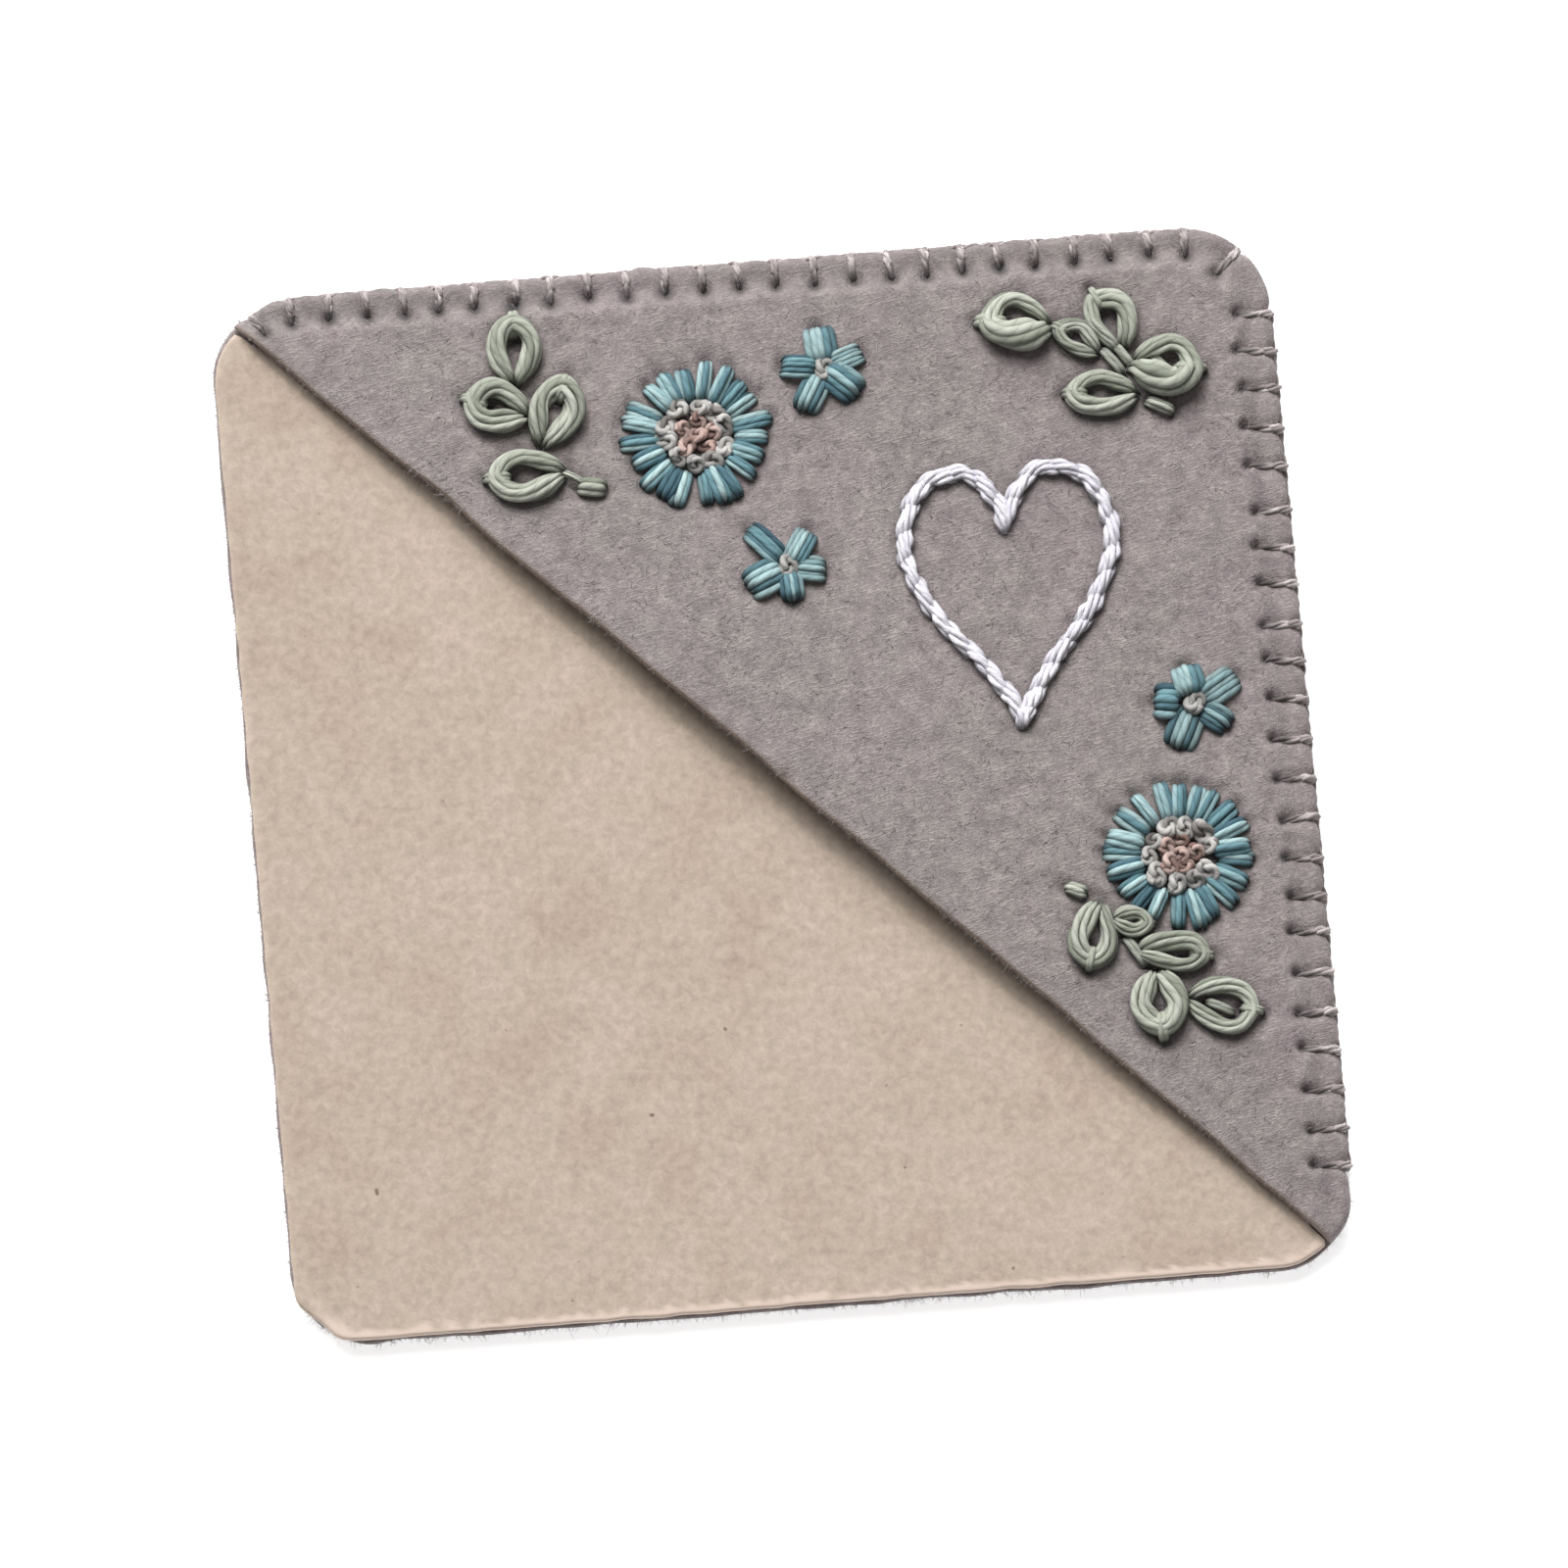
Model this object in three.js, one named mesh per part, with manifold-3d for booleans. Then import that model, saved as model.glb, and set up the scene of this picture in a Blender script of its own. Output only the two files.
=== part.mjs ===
// Needle case in felt: a square back panel, a triangular front panel blanket-stitched to it
// along two edges to make a corner pocket, a loose kraft card in the pocket, and hand
// embroidery on the pocket's front.
//
// Millimetres, +Z up. The origin is the middle of the back panel's underside. +X points at
// the stitched side edge, +Y at the stitched top edge, and the pocket's open mouth runs along
// the diagonal x + y = 0, from the top left tip to the bottom right tip.

import * as THREE from 'three';
import { mergeVertices } from 'three/addons/utils/BufferGeometryUtils.js';
import Module from 'manifold-3d';

const wasm = await Module();
wasm.setup();

// ---- driving dimensions ----

const SIDE = 84; // felt square, edge to edge
const CORNER_RADIUS = 6.3; // the square's rounded corners
const FELT = 1.2; // craft felt thickness
const CARD = 0.8; // kraft board thickness
const AIR = 0.1; // air between two loose layers

const SEAM_FLAT = 1.4; // rim where the front panel lies on the back panel
const SEAM_RISE = 2.0; // width of the slope from that rim up to the card's top
const MOUTH_BOW = 1.8; // how far the middle of the mouth stands open above the card
const BOW_DEPTH = 16; // how far into the pocket that bow fades

const THREAD = 0.5; // blanket thread, drawn square in section
const THREAD_EASE = 0.12; // space between thread and felt
const STITCH_PITCH = { top: 2.97, side: 3.14 };
const STITCH_INSET = { top: 2.2, side: 2.8, corner: 3.0, tip: 2.4 }; // from edge to hole
const STITCH_COUNT = { top: 25, side: 23 };
const FIRST_STITCH = { top: -35.5, side: -34.3 };
const PURL_BASE = 1.0; // height of the thread that runs along the edge

const MOTIF_EASE = 0.12; // space between the front panel and the embroidery on it

const HALF = SIDE / 2;
const ARC_CENTRE = HALF - CORNER_RADIUS;
const MOUTH_HALF = (ARC_CENTRE + CORNER_RADIUS * Math.SQRT1_2) * Math.SQRT2;
const DEG = Math.PI / 180;

// ---- materials ----

const material = (color, roughness = 1) =>
  new THREE.MeshStandardMaterial({ color, roughness, metalness: 0 });

const felt = material(0x9b8f8f);
const kraft = material(0xc8b6a6, 0.9);
const taupeThread = material(0xb0a4a4, 0.8);
const whiteThread = material(0xebe6f0, 0.7);
const tealThread = material(0x6ea0a5, 0.7);
const sageThread = material(0x9ca38d, 0.7);
const creamThread = material(0xc8c8b9, 0.7);
const pinkThread = material(0xc8a091, 0.7);

// ---- solids ----

// A closed mesh as a solid that can be joined and cut.
function toSolid(geometry) {
  const bare = geometry.clone();
  bare.deleteAttribute('normal');
  bare.deleteAttribute('uv');
  const merged = mergeVertices(bare, 1e-4);
  const index = merged.index.array;
  const triangles = [];
  for (let i = 0; i < index.length; i += 3) {
    const [a, b, c] = [index[i], index[i + 1], index[i + 2]];
    if (a !== b && b !== c && c !== a) triangles.push(a, b, c);
  }
  const vertProperties = new Float32Array(merged.attributes.position.array);
  const triVerts = new Uint32Array(triangles);
  return new wasm.Manifold(new wasm.Mesh({ numProp: 3, vertProperties, triVerts }));
}

function toGeometry(solid) {
  const { vertProperties, triVerts } = solid.getMesh();
  const geometry = new THREE.BufferGeometry();
  geometry.setAttribute('position', new THREE.BufferAttribute(vertProperties, 3));
  geometry.setIndex(new THREE.BufferAttribute(triVerts, 1));
  geometry.computeVertexNormals();
  return geometry;
}

const join = (geometries) => geometries.map(toSolid).reduce((whole, solid) => whole.add(solid));

// ---- the surface of the front panel ----

// Distance in from the two stitched edges and the rounded corner between them.
function seamDistance(x, y) {
  const pastX = x - ARC_CENTRE;
  const pastY = y - ARC_CENTRE;
  const round = Math.hypot(Math.max(pastX, 0), Math.max(pastY, 0));
  return CORNER_RADIUS - round - Math.min(Math.max(pastX, pastY), 0);
}

// Height of the front panel's underside: down on the back panel at the seam, over the card
// inside it, and bowed open towards the middle of the mouth.
function frontUnderside(x, y) {
  const overCard = THREE.MathUtils.smoothstep(
    seamDistance(x, y), SEAM_FLAT, SEAM_FLAT + SEAM_RISE);
  const along = (x - y) * Math.SQRT1_2 / MOUTH_HALF;
  const inward = (x + y) * Math.SQRT1_2 / BOW_DEPTH;
  const bow = MOUTH_BOW * Math.max(0, 1 - along ** 2) ** 1.5 * Math.exp(-(inward ** 2));
  return FELT + AIR + (CARD + AIR) * overCard + bow;
}

const frontTop = (x, y) => frontUnderside(x, y) + FELT;

// Lifts a motif made flat on z = 0 onto the front panel.
function drape(geometry) {
  const place = geometry.attributes.position;
  for (let i = 0; i < place.count; i += 1) {
    const [x, y, z] = [place.getX(i), place.getY(i), place.getZ(i)];
    place.setZ(i, z + frontTop(x, y) + MOTIF_EASE);
  }
  geometry.computeVertexNormals();
  return geometry;
}

// ---- felt panels ----

function roundedSquare() {
  const shape = new THREE.Shape();
  shape.absarc(ARC_CENTRE, -ARC_CENTRE, CORNER_RADIUS, -90 * DEG, 0);
  shape.absarc(ARC_CENTRE, ARC_CENTRE, CORNER_RADIUS, 0, 90 * DEG);
  shape.absarc(-ARC_CENTRE, ARC_CENTRE, CORNER_RADIUS, 90 * DEG, 180 * DEG);
  shape.absarc(-ARC_CENTRE, -ARC_CENTRE, CORNER_RADIUS, 180 * DEG, 270 * DEG);
  return shape;
}

function backPanel() {
  const sheet = new THREE.ExtrudeGeometry(roundedSquare(), {
    depth: FELT, bevelEnabled: false, curveSegments: 8,
  });
  const cuts = join(allStitches().flatMap((stitch) => [holeCutter(stitch), grooveCutter(stitch)]));
  return toGeometry(toSolid(sheet).subtract(cuts));
}

// The front panel's cut edge from the bottom right tip round the closed corner to the top
// left tip.
function frontOutline() {
  const points = [];
  const edgeSteps = 10;
  const addArc = (cx, cy, from, to, steps) => {
    for (let i = 0; i <= steps; i += 1) {
      const angle = THREE.MathUtils.lerp(from, to, i / steps) * DEG;
      const x = cx + CORNER_RADIUS * Math.cos(angle);
      const y = cy + CORNER_RADIUS * Math.sin(angle);
      points.push([x, y]);
    }
  };
  const addEdge = (from, to) => {
    for (let i = 1; i < edgeSteps; i += 1) {
      const share = i / edgeSteps;
      const x = THREE.MathUtils.lerp(from[0], to[0], share);
      const y = THREE.MathUtils.lerp(from[1], to[1], share);
      points.push([x, y]);
    }
  };
  addArc(ARC_CENTRE, -ARC_CENTRE, -45, 0, 3);
  addEdge([HALF, -ARC_CENTRE], [HALF, ARC_CENTRE]);
  addArc(ARC_CENTRE, ARC_CENTRE, 0, 90, 5);
  addEdge([ARC_CENTRE, HALF], [-ARC_CENTRE, HALF]);
  addArc(-ARC_CENTRE, ARC_CENTRE, 90, 135, 3);
  return points;
}

// The front panel is a fan of rings: copies of its outline scaled towards the middle of the
// mouth, each vertex on the curved surface. Rings crowd together at the seam's slope.
function frontSheet() {
  const outline = frontOutline();
  const slope = [SEAM_FLAT + SEAM_RISE, SEAM_FLAT + SEAM_RISE / 2, SEAM_FLAT];
  const rings = [0.14, 0.29, 0.45, 0.62, 0.8, ...slope.map((d) => 1 - d / HALF), 1];
  const positions = [];
  const triangles = [];
  const addLayer = (heightAt) => {
    positions.push(0, 0, heightAt(0, 0));
    for (const ring of rings) {
      for (const [x, y] of outline) {
        positions.push(x * ring, y * ring, heightAt(x * ring, y * ring));
      }
    }
  };
  addLayer(frontUnderside);
  addLayer(frontTop);

  const width = outline.length;
  const layer = 1 + rings.length * width;
  const at = (ring, column) => (ring < 0 ? 0 : 1 + ring * width + column);
  const quad = (a, b, c, d) => triangles.push(a, b, c, a, c, d);
  for (let column = 0; column + 1 < width; column += 1) {
    triangles.push(0, at(0, column + 1), at(0, column));
    triangles.push(layer, layer + at(0, column), layer + at(0, column + 1));
    for (let ring = 0; ring + 1 < rings.length; ring += 1) {
      const [a, b] = [at(ring, column), at(ring + 1, column)];
      const [c, d] = [at(ring + 1, column + 1), at(ring, column + 1)];
      quad(a, d, c, b);
      quad(layer + a, layer + b, layer + c, layer + d);
    }
    const [low, next] = [at(rings.length - 1, column), at(rings.length - 1, column + 1)];
    quad(low, next, layer + next, layer + low);
  }
  for (let ring = -1; ring + 1 < rings.length; ring += 1) {
    const [a, b] = [at(ring, 0), at(ring + 1, 0)];
    quad(a, b, layer + b, layer + a);
    const [c, d] = [at(ring, width - 1), at(ring + 1, width - 1)];
    quad(d, c, layer + c, layer + d);
  }
  const geometry = new THREE.BufferGeometry();
  geometry.setAttribute('position', new THREE.Float32BufferAttribute(positions, 3));
  geometry.setIndex(triangles);
  return geometry;
}

function frontPanel() {
  const holes = join(allStitches().map(holeCutter));
  return toGeometry(toSolid(frontSheet()).subtract(holes));
}

// ---- kraft card ----

// A square board cut to the back panel on its two free edges and to the seam on the other
// two, with the free corner snipped off. At both tips of the mouth it fills the back panel's
// rounded corner up to the mouth line.
function kraftCard() {
  const margin = 0.1;
  const free = HALF - margin;
  const insideSeam = HALF - SEAM_FLAT - SEAM_RISE;
  const snip = 3.4;
  const cornerRadius = CORNER_RADIUS - margin;
  const innerRadius = 6;
  const mouthGap = 0.2;
  const tipSweep = 45 * DEG - mouthGap / cornerRadius;
  const innerCentre = insideSeam - innerRadius;
  const shape = new THREE.Shape();
  shape.moveTo(-free, snip - free);
  shape.lineTo(snip - free, -free);
  shape.absarc(ARC_CENTRE, -ARC_CENTRE, cornerRadius, -90 * DEG, tipSweep - 90 * DEG);
  shape.lineTo(insideSeam, -insideSeam - mouthGap);
  shape.absarc(innerCentre, innerCentre, innerRadius, 0, 90 * DEG);
  shape.lineTo(-insideSeam - mouthGap, insideSeam);
  shape.absarc(-ARC_CENTRE, ARC_CENTRE, cornerRadius, 180 * DEG - tipSweep, 180 * DEG);
  shape.closePath();
  const board = new THREE.ExtrudeGeometry(shape, {
    depth: CARD, bevelEnabled: false, curveSegments: 6,
  });
  return board.translate(0, 0, FELT + AIR);
}

// ---- blanket stitching ----

// A stitch is the point on the felt's edge, the way out of the felt there, and the hole's
// distance in from the edge.
const stitchAt = (x, y, angle, inset) => ({ x, y, angle, inset });

function cornerStitch(signX, angle, inset) {
  const x = signX * ARC_CENTRE + CORNER_RADIUS * Math.cos(angle);
  const y = ARC_CENTRE + CORNER_RADIUS * Math.sin(angle);
  return stitchAt(x, y, angle, inset);
}

function topStitches() {
  const stitches = [cornerStitch(-1, 120 * DEG, STITCH_INSET.tip)];
  for (let i = 0; i < STITCH_COUNT.top; i += 1) {
    const x = FIRST_STITCH.top + i * STITCH_PITCH.top;
    stitches.push(stitchAt(x, HALF, 90 * DEG, STITCH_INSET.top));
  }
  stitches.push(cornerStitch(1, 45 * DEG, STITCH_INSET.corner));
  return stitches;
}

function sideStitches() {
  const stitches = [];
  for (let i = 0; i < STITCH_COUNT.side; i += 1) {
    const y = FIRST_STITCH.side + i * STITCH_PITCH.side;
    stitches.push(stitchAt(HALF, y, 0, STITCH_INSET.side));
  }
  return stitches;
}

const allStitches = () => [...topStitches(), ...sideStitches()];

// Where a stitch goes through the felt.
const holeOf = ({ x, y, angle, inset }) =>
  [x - inset * Math.cos(angle), y - inset * Math.sin(angle)];

// A box along a stitch: from and to are measured outwards from the hole.
function boxOnStitch(stitch, from, to, width, bottom, top) {
  const box = new THREE.BoxGeometry(to - from, width, top - bottom);
  box.translate((from + to) / 2, 0, (bottom + top) / 2);
  const [x, y] = holeOf(stitch);
  return box.rotateZ(stitch.angle).translate(x, y, 0);
}

function holeCutter(stitch) {
  const reach = THREAD / 2 + THREAD_EASE;
  const wellAbove = 10;
  return boxOnStitch(stitch, -reach, reach, 2 * reach, -1, wellAbove);
}

// The channel in the back panel's underside that the thread sinks into.
function grooveCutter(stitch) {
  const reach = THREAD / 2 + THREAD_EASE;
  const depth = 2 * THREAD_EASE + THREAD;
  return boxOnStitch(stitch, -reach, stitch.inset + 1, 2 * reach, -1, depth);
}

// The thread of one stitch: up through the hole, over the front, round the edge and back
// along the underside.
function stitchLoop(stitch) {
  const [x, y] = holeOf(stitch);
  const low = THREAD_EASE;
  const atHole = frontTop(x, y) + THREAD_EASE;
  const atEdge = frontTop(stitch.x, stitch.y) + THREAD_EASE;
  const nearSide = THREAD / 2;
  const edge = stitch.inset + THREAD_EASE;
  const shape = new THREE.Shape([
    new THREE.Vector2(-nearSide, low),
    new THREE.Vector2(edge + THREAD, low),
    new THREE.Vector2(edge + THREAD, atEdge),
    new THREE.Vector2(edge, atEdge + THREAD),
    new THREE.Vector2(nearSide, atHole + THREAD),
    new THREE.Vector2(-nearSide, atHole),
  ]);
  shape.holes.push(new THREE.Path([
    new THREE.Vector2(nearSide, low + THREAD),
    new THREE.Vector2(edge, low + THREAD),
    new THREE.Vector2(edge, atEdge),
    new THREE.Vector2(nearSide, atHole),
  ]));
  const loop = new THREE.ExtrudeGeometry(shape, { depth: THREAD, bevelEnabled: false });
  loop.translate(0, 0, -THREAD / 2);
  loop.rotateX(90 * DEG);
  return loop.rotateZ(stitch.angle).translate(x, y, 0);
}

// The thread that links the stitches along the edge, as a strip that follows the outline.
function purl(drawEdge) {
  const shape = new THREE.Shape();
  drawEdge(shape, THREAD_EASE + THREAD, false);
  drawEdge(shape, THREAD_EASE, true);
  shape.closePath();
  const strip = new THREE.ExtrudeGeometry(shape, {
    depth: THREAD, bevelEnabled: false, curveSegments: 6,
  });
  return strip.translate(0, 0, PURL_BASE);
}

function topEdge(shape, offset, backwards) {
  const radius = CORNER_RADIUS + offset;
  const arcs = [
    () => shape.absarc(-ARC_CENTRE, ARC_CENTRE, radius,
      (backwards ? 90 : 120) * DEG, (backwards ? 120 : 90) * DEG, !backwards),
    () => shape.absarc(ARC_CENTRE, ARC_CENTRE, radius,
      (backwards ? 45 : 90) * DEG, (backwards ? 90 : 45) * DEG, !backwards),
  ];
  if (backwards) arcs.reverse();
  arcs.forEach((draw) => draw());
}

function sideEdge(shape, offset, backwards) {
  const radius = CORNER_RADIUS + offset;
  const lastStitch = FIRST_STITCH.side;
  const closedEnd = 38;
  if (backwards) {
    shape.lineTo(HALF + offset, lastStitch);
    shape.absarc(ARC_CENTRE, ARC_CENTRE, radius, 0, closedEnd * DEG);
  } else {
    shape.absarc(ARC_CENTRE, ARC_CENTRE, radius, closedEnd * DEG, 0, true);
    shape.lineTo(HALF + offset, lastStitch);
  }
}

const blanketThread = (stitches, drawEdge) =>
  toGeometry(join([purl(drawEdge), ...stitches.map(stitchLoop)]));

// ---- embroidery ----

// A rounded stitch lying on the felt: length and width across, height above it.
function dome(x, y, length, width, height, angle = 0) {
  const profile = [[0, 0], [1, 0], [0.86, 0.6], [0, 1]];
  const lathe = new THREE.LatheGeometry(profile.map(([r, z]) => new THREE.Vector2(r, z)), 6);
  lathe.rotateX(90 * DEG);
  lathe.scale(length / 2, width / 2, height);
  return lathe.rotateZ(angle).translate(x, y, 0);
}

// A low ring of thread that ties a flower's stitches into one piece.
function tie(x, y, radius, width, height) {
  const profile = [
    [radius - width / 2, 0], [radius + width / 2, 0],
    [radius + width / 2, height], [radius - width / 2, height],
    [radius - width / 2, 0],
  ];
  const lathe = new THREE.LatheGeometry(profile.map(([r, z]) => new THREE.Vector2(r, z)), 10);
  return lathe.rotateX(90 * DEG).translate(x, y, 0);
}

const polar = (x, y, radius, angle) => [x + radius * Math.cos(angle), y + radius * Math.sin(angle)];

// Petal stitches side by side round a centre.
function petalRing({ x, y, petals, inner, outer, width, height, turn = 0 }) {
  const pieces = [tie(x, y, inner + 0.45, 0.5, 0.4)];
  for (let i = 0; i < petals; i += 1) {
    const angle = (turn + 360 * i / petals) * DEG;
    const [px, py] = polar(x, y, (inner + outer) / 2, angle);
    pieces.push(dome(px, py, outer - inner, width, height, angle));
  }
  return drape(toGeometry(join(pieces)));
}

// French knots in a ring, on the thread that runs from one to the next.
function knotRing({ x, y, knots, radius, size, height, turn = 0 }) {
  const pieces = [tie(x, y, radius, 0.5, 0.4)];
  for (let i = 0; i < knots; i += 1) {
    const [kx, ky] = polar(x, y, radius, (turn + 360 * i / knots) * DEG);
    pieces.push(dome(kx, ky, size, size, height));
  }
  return drape(toGeometry(join(pieces)));
}

const knot = (x, y, size, height) => drape(dome(x, y, size, size, height));

// A detached chain stitch: a teardrop loop of thread, from its base to its rounded end.
function leaf([baseX, baseY], [tipX, tipY], width, thread = 1.05) {
  const length = Math.hypot(tipX - baseX, tipY - baseY);
  const steps = 14;
  const teardrop = (long, wide, start) => {
    const points = [];
    for (let i = 0; i < steps; i += 1) {
      const turn = 2 * Math.PI * i / steps;
      const along = (1 - Math.cos(turn)) / 2;
      const swell = Math.sqrt(0.25 + 0.75 * along);
      points.push(new THREE.Vector2(start + long * along, -wide / 2 * Math.sin(turn) * swell));
    }
    return points;
  };
  const shape = new THREE.Shape(teardrop(length, width, 0));
  const opening = teardrop(length - 2.4 * thread, Math.max(width - 2 * thread, 0.7), 1.4 * thread);
  shape.holes.push(new THREE.Path(opening));
  const loop = new THREE.ExtrudeGeometry(shape, { depth: 0.9, bevelEnabled: false });
  loop.rotateZ(Math.atan2(tipY - baseY, tipX - baseX)).translate(baseX, baseY, 0);
  return drape(loop);
}

// A heart outline worked in stem stitch: a cord of thread down each half, from the cleft to
// the point, joined where the two halves meet.
function heartOutline({ x, y, width, height, thread }) {
  const sides = 6;
  const section = new THREE.Shape(Array.from({ length: sides }, (_, i) => {
    const [across, up] = polar(0, 0, thread / 2, 2 * Math.PI * i / sides);
    return new THREE.Vector2(across, up);
  }));
  const half = (side) => {
    const points = [0.45, 0.8, 1.2, 1.6, 2.0, 2.4, 2.8, 3.1].map((t) => {
      const cosines = 13 * Math.cos(t) - 5 * Math.cos(2 * t) - 2 * Math.cos(3 * t) - Math.cos(4 * t);
      const across = side * width / 2 * Math.sin(t) ** 3;
      return new THREE.Vector3(x + across, y + height * cosines / 29, 0);
    });
    const cleft = new THREE.Vector3(x - side * 0.1, points[0].y - 0.12 * height, 0);
    const path = new THREE.CatmullRomCurve3([cleft, ...points]);
    return new THREE.ExtrudeGeometry(section, { steps: 24, extrudePath: path });
  };
  const outline = toGeometry(join([half(1), half(-1)]));
  return drape(outline.translate(0, 0, thread / 2));
}

// ---- assembly ----

const needleCase = new THREE.Group();

function add(name, geometry, look) {
  const mesh = new THREE.Mesh(geometry, look);
  mesh.name = name;
  needleCase.add(mesh);
}

add('back_panel', backPanel(), felt);
add('front_panel', frontPanel(), felt);
add('kraft_card', kraftCard(), kraft);
add('blanket_thread_top', blanketThread(topStitches(), topEdge), taupeThread);
add('blanket_thread_side', blanketThread(sideStitches(), sideEdge), taupeThread);
const heart = { x: 19.6, y: 15, width: 16.6, height: 21, thread: 1.4 };
add('heart_outline', heartOutline(heart), whiteThread);

const rosettes = {
  rosette_left: { x: -4.3, y: 28.1 },
  rosette_right: { x: 30.9, y: -8.6 },
};
for (const [name, place] of Object.entries(rosettes)) {
  const petals = { ...place, petals: 18, inner: 3.4, outer: 5.9, width: 1.35, height: 0.95 };
  const outerKnots = { ...place, knots: 8, radius: 2.3, size: 1.6, height: 1.2 };
  const centreKnots = { ...place, knots: 4, radius: 0.7, size: 1.3, height: 1.3, turn: 45 };
  add(`${name}_petals`, petalRing(petals), tealThread);
  add(`${name}_knots`, knotRing(outerKnots), creamThread);
  add(`${name}_centre`, knotRing(centreKnots), pinkThread);
}

const florets = {
  floret_upper: { x: 6.3, y: 32.8, turn: 90 },
  floret_middle: { x: 2.0, y: 16.9, turn: 60 },
  floret_right: { x: 33.2, y: 3.5, turn: 100 },
};
for (const [name, place] of Object.entries(florets)) {
  const petals = { ...place, petals: 5, inner: 0.95, outer: 3.4, width: 2.1, height: 1.0 };
  add(`${name}_petals`, petalRing(petals), tealThread);
  add(`${name}_knot`, knot(place.x, place.y, 1.5, 1.2), creamThread);
}

const sprigs = {
  sprig_left: [
    leaf([-18.4, 33.5], [-18.0, 39.0], 4.3),
    leaf([-17.7, 30.7], [-22.3, 32.4], 4.3),
    leaf([-16.6, 28.4], [-14.2, 33.4], 4.3),
    leaf([-15.1, 25.8], [-21.1, 25.8], 4.3),
  ],
  sprig_upper: [
    leaf([24.4, 34.9], [18.9, 35.6], 4.8),
    leaf([27.9, 32.6], [25.0, 34.6], 2.2, 0.75),
    leaf([29.5, 32.8], [28.0, 37.0], 3.9),
    leaf([31.0, 31.3], [36.1, 30.4], 4.8),
    leaf([30.9, 28.6], [25.2, 29.2], 3.6),
  ],
  sprig_lower: [
    leaf([24.2, -12.1], [22.8, -17.2], 3.7),
    leaf([25.5, -13.9], [28.0, -14.7], 2.0, 0.7),
    leaf([26.9, -16.2], [32.6, -16.8], 3.0, 0.95),
    leaf([28.2, -18.0], [28.2, -23.2], 4.3),
    leaf([30.5, -20.2], [36.1, -21.6], 4.7),
  ],
};
for (const [name, leaves] of Object.entries(sprigs)) {
  leaves.forEach((geometry, i) => add(`${name}_leaf_${i + 1}`, geometry, sageThread));
}
add('sprig_left_bud', knot(-13.0, 24.5, 1.9, 1.2), sageThread);
add('sprig_upper_stem', drape(dome(32.7, 27.7, 1.9, 0.8, 0.6, -22 * DEG)), sageThread);
add('sprig_lower_bud', knot(22.4, -10.8, 1.5, 1.0), sageThread);

export default needleCase;
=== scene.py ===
"""Looks of the felt needle case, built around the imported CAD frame.

Lengths are millimetres in the frame's own axes: +X towards the stitched side edge, +Y towards
the stitched top edge, +Z out of the embroidered front. build() turns them into metres.
"""

import math

import bpy
import numpy as np
from mathutils import Matrix, Vector


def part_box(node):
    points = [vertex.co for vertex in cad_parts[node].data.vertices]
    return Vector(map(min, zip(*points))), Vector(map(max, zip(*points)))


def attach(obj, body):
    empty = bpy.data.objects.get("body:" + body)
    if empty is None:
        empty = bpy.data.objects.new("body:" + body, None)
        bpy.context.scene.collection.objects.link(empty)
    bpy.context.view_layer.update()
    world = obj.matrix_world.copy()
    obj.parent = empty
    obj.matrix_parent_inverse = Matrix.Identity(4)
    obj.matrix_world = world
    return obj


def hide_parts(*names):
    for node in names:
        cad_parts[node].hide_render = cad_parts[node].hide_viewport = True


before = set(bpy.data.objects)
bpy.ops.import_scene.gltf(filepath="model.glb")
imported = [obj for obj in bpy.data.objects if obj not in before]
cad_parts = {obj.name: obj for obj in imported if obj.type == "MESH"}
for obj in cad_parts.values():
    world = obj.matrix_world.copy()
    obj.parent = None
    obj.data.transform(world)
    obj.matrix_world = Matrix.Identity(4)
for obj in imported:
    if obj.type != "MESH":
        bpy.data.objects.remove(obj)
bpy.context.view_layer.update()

MM = 0.001
rng = np.random.default_rng(7)


def box_mm(node):
    """A node's lowest and highest corners."""
    low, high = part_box(node)
    return np.array(low) / MM, np.array(high) / MM


# ---- sizes, from the frame where it has them ----

BACK_LOW, BACK_HIGH = box_mm("back_panel")
CARD_LOW, CARD_HIGH = box_mm("kraft_card")
HALF = BACK_HIGH[0]
FELT = BACK_HIGH[2] - BACK_LOW[2]
CARD_TOP = CARD_HIGH[2]
CARD_FREE = -CARD_LOW[0]
SEAM_BASE = CARD_LOW[2]

# These repeat the CAD source's driving dimensions.
CORNER_RADIUS = 6.3
SEAM_FLAT = 1.4
SEAM_RISE = 2.0
AIR = 0.1
MOUTH_BOW = 1.8
BOW_DEPTH = 16.0
STITCH_INSET = {"top": 2.2, "side": 2.8, "corner": 3.0, "tip": 2.4}

# The straight seams' stitches: how many, the first one's place and the step to the next.
TOP_SEAM = (25, -35.5, 2.97)
SIDE_SEAM = (23, -34.3, 3.14)

DIAGONAL = math.sqrt(0.5)
ARC_CENTRE = HALF - CORNER_RADIUS
MOUTH_HALF = (ARC_CENTRE + CORNER_RADIUS * DIAGONAL) * math.sqrt(2)

# The blanket thread, the grooves and holes that it presses into the felt, and how far the
# edge stands out between its stitches and is drawn in at them.
BLANKET_RADIUS = 0.31
GROOVE_DEPTH = 0.24
GROOVE_WIDTH = 0.45
HOLE_DEPTH = 0.72
HOLE_WIDTH = {"top": 0.55, "side": 0.37}
EDGE_BULGE = 0.24
EDGE_NOTCH = 0.36


# ---- small helpers ----


def smoothstep(value, low, high):
    """0 below low, 1 above high, and a smooth step between them."""
    t = np.clip((value - low) / (high - low), 0, 1)
    return t * t * (3 - 2 * t)


def unit(vectors):
    """The vectors, each made one long."""
    return vectors / np.maximum(np.linalg.norm(vectors, axis=-1, keepdims=True), 1e-9)


def heading(angle):
    """The direction in plan at an angle from +X, in radians."""
    return np.array([math.cos(angle), math.sin(angle)])


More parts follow.
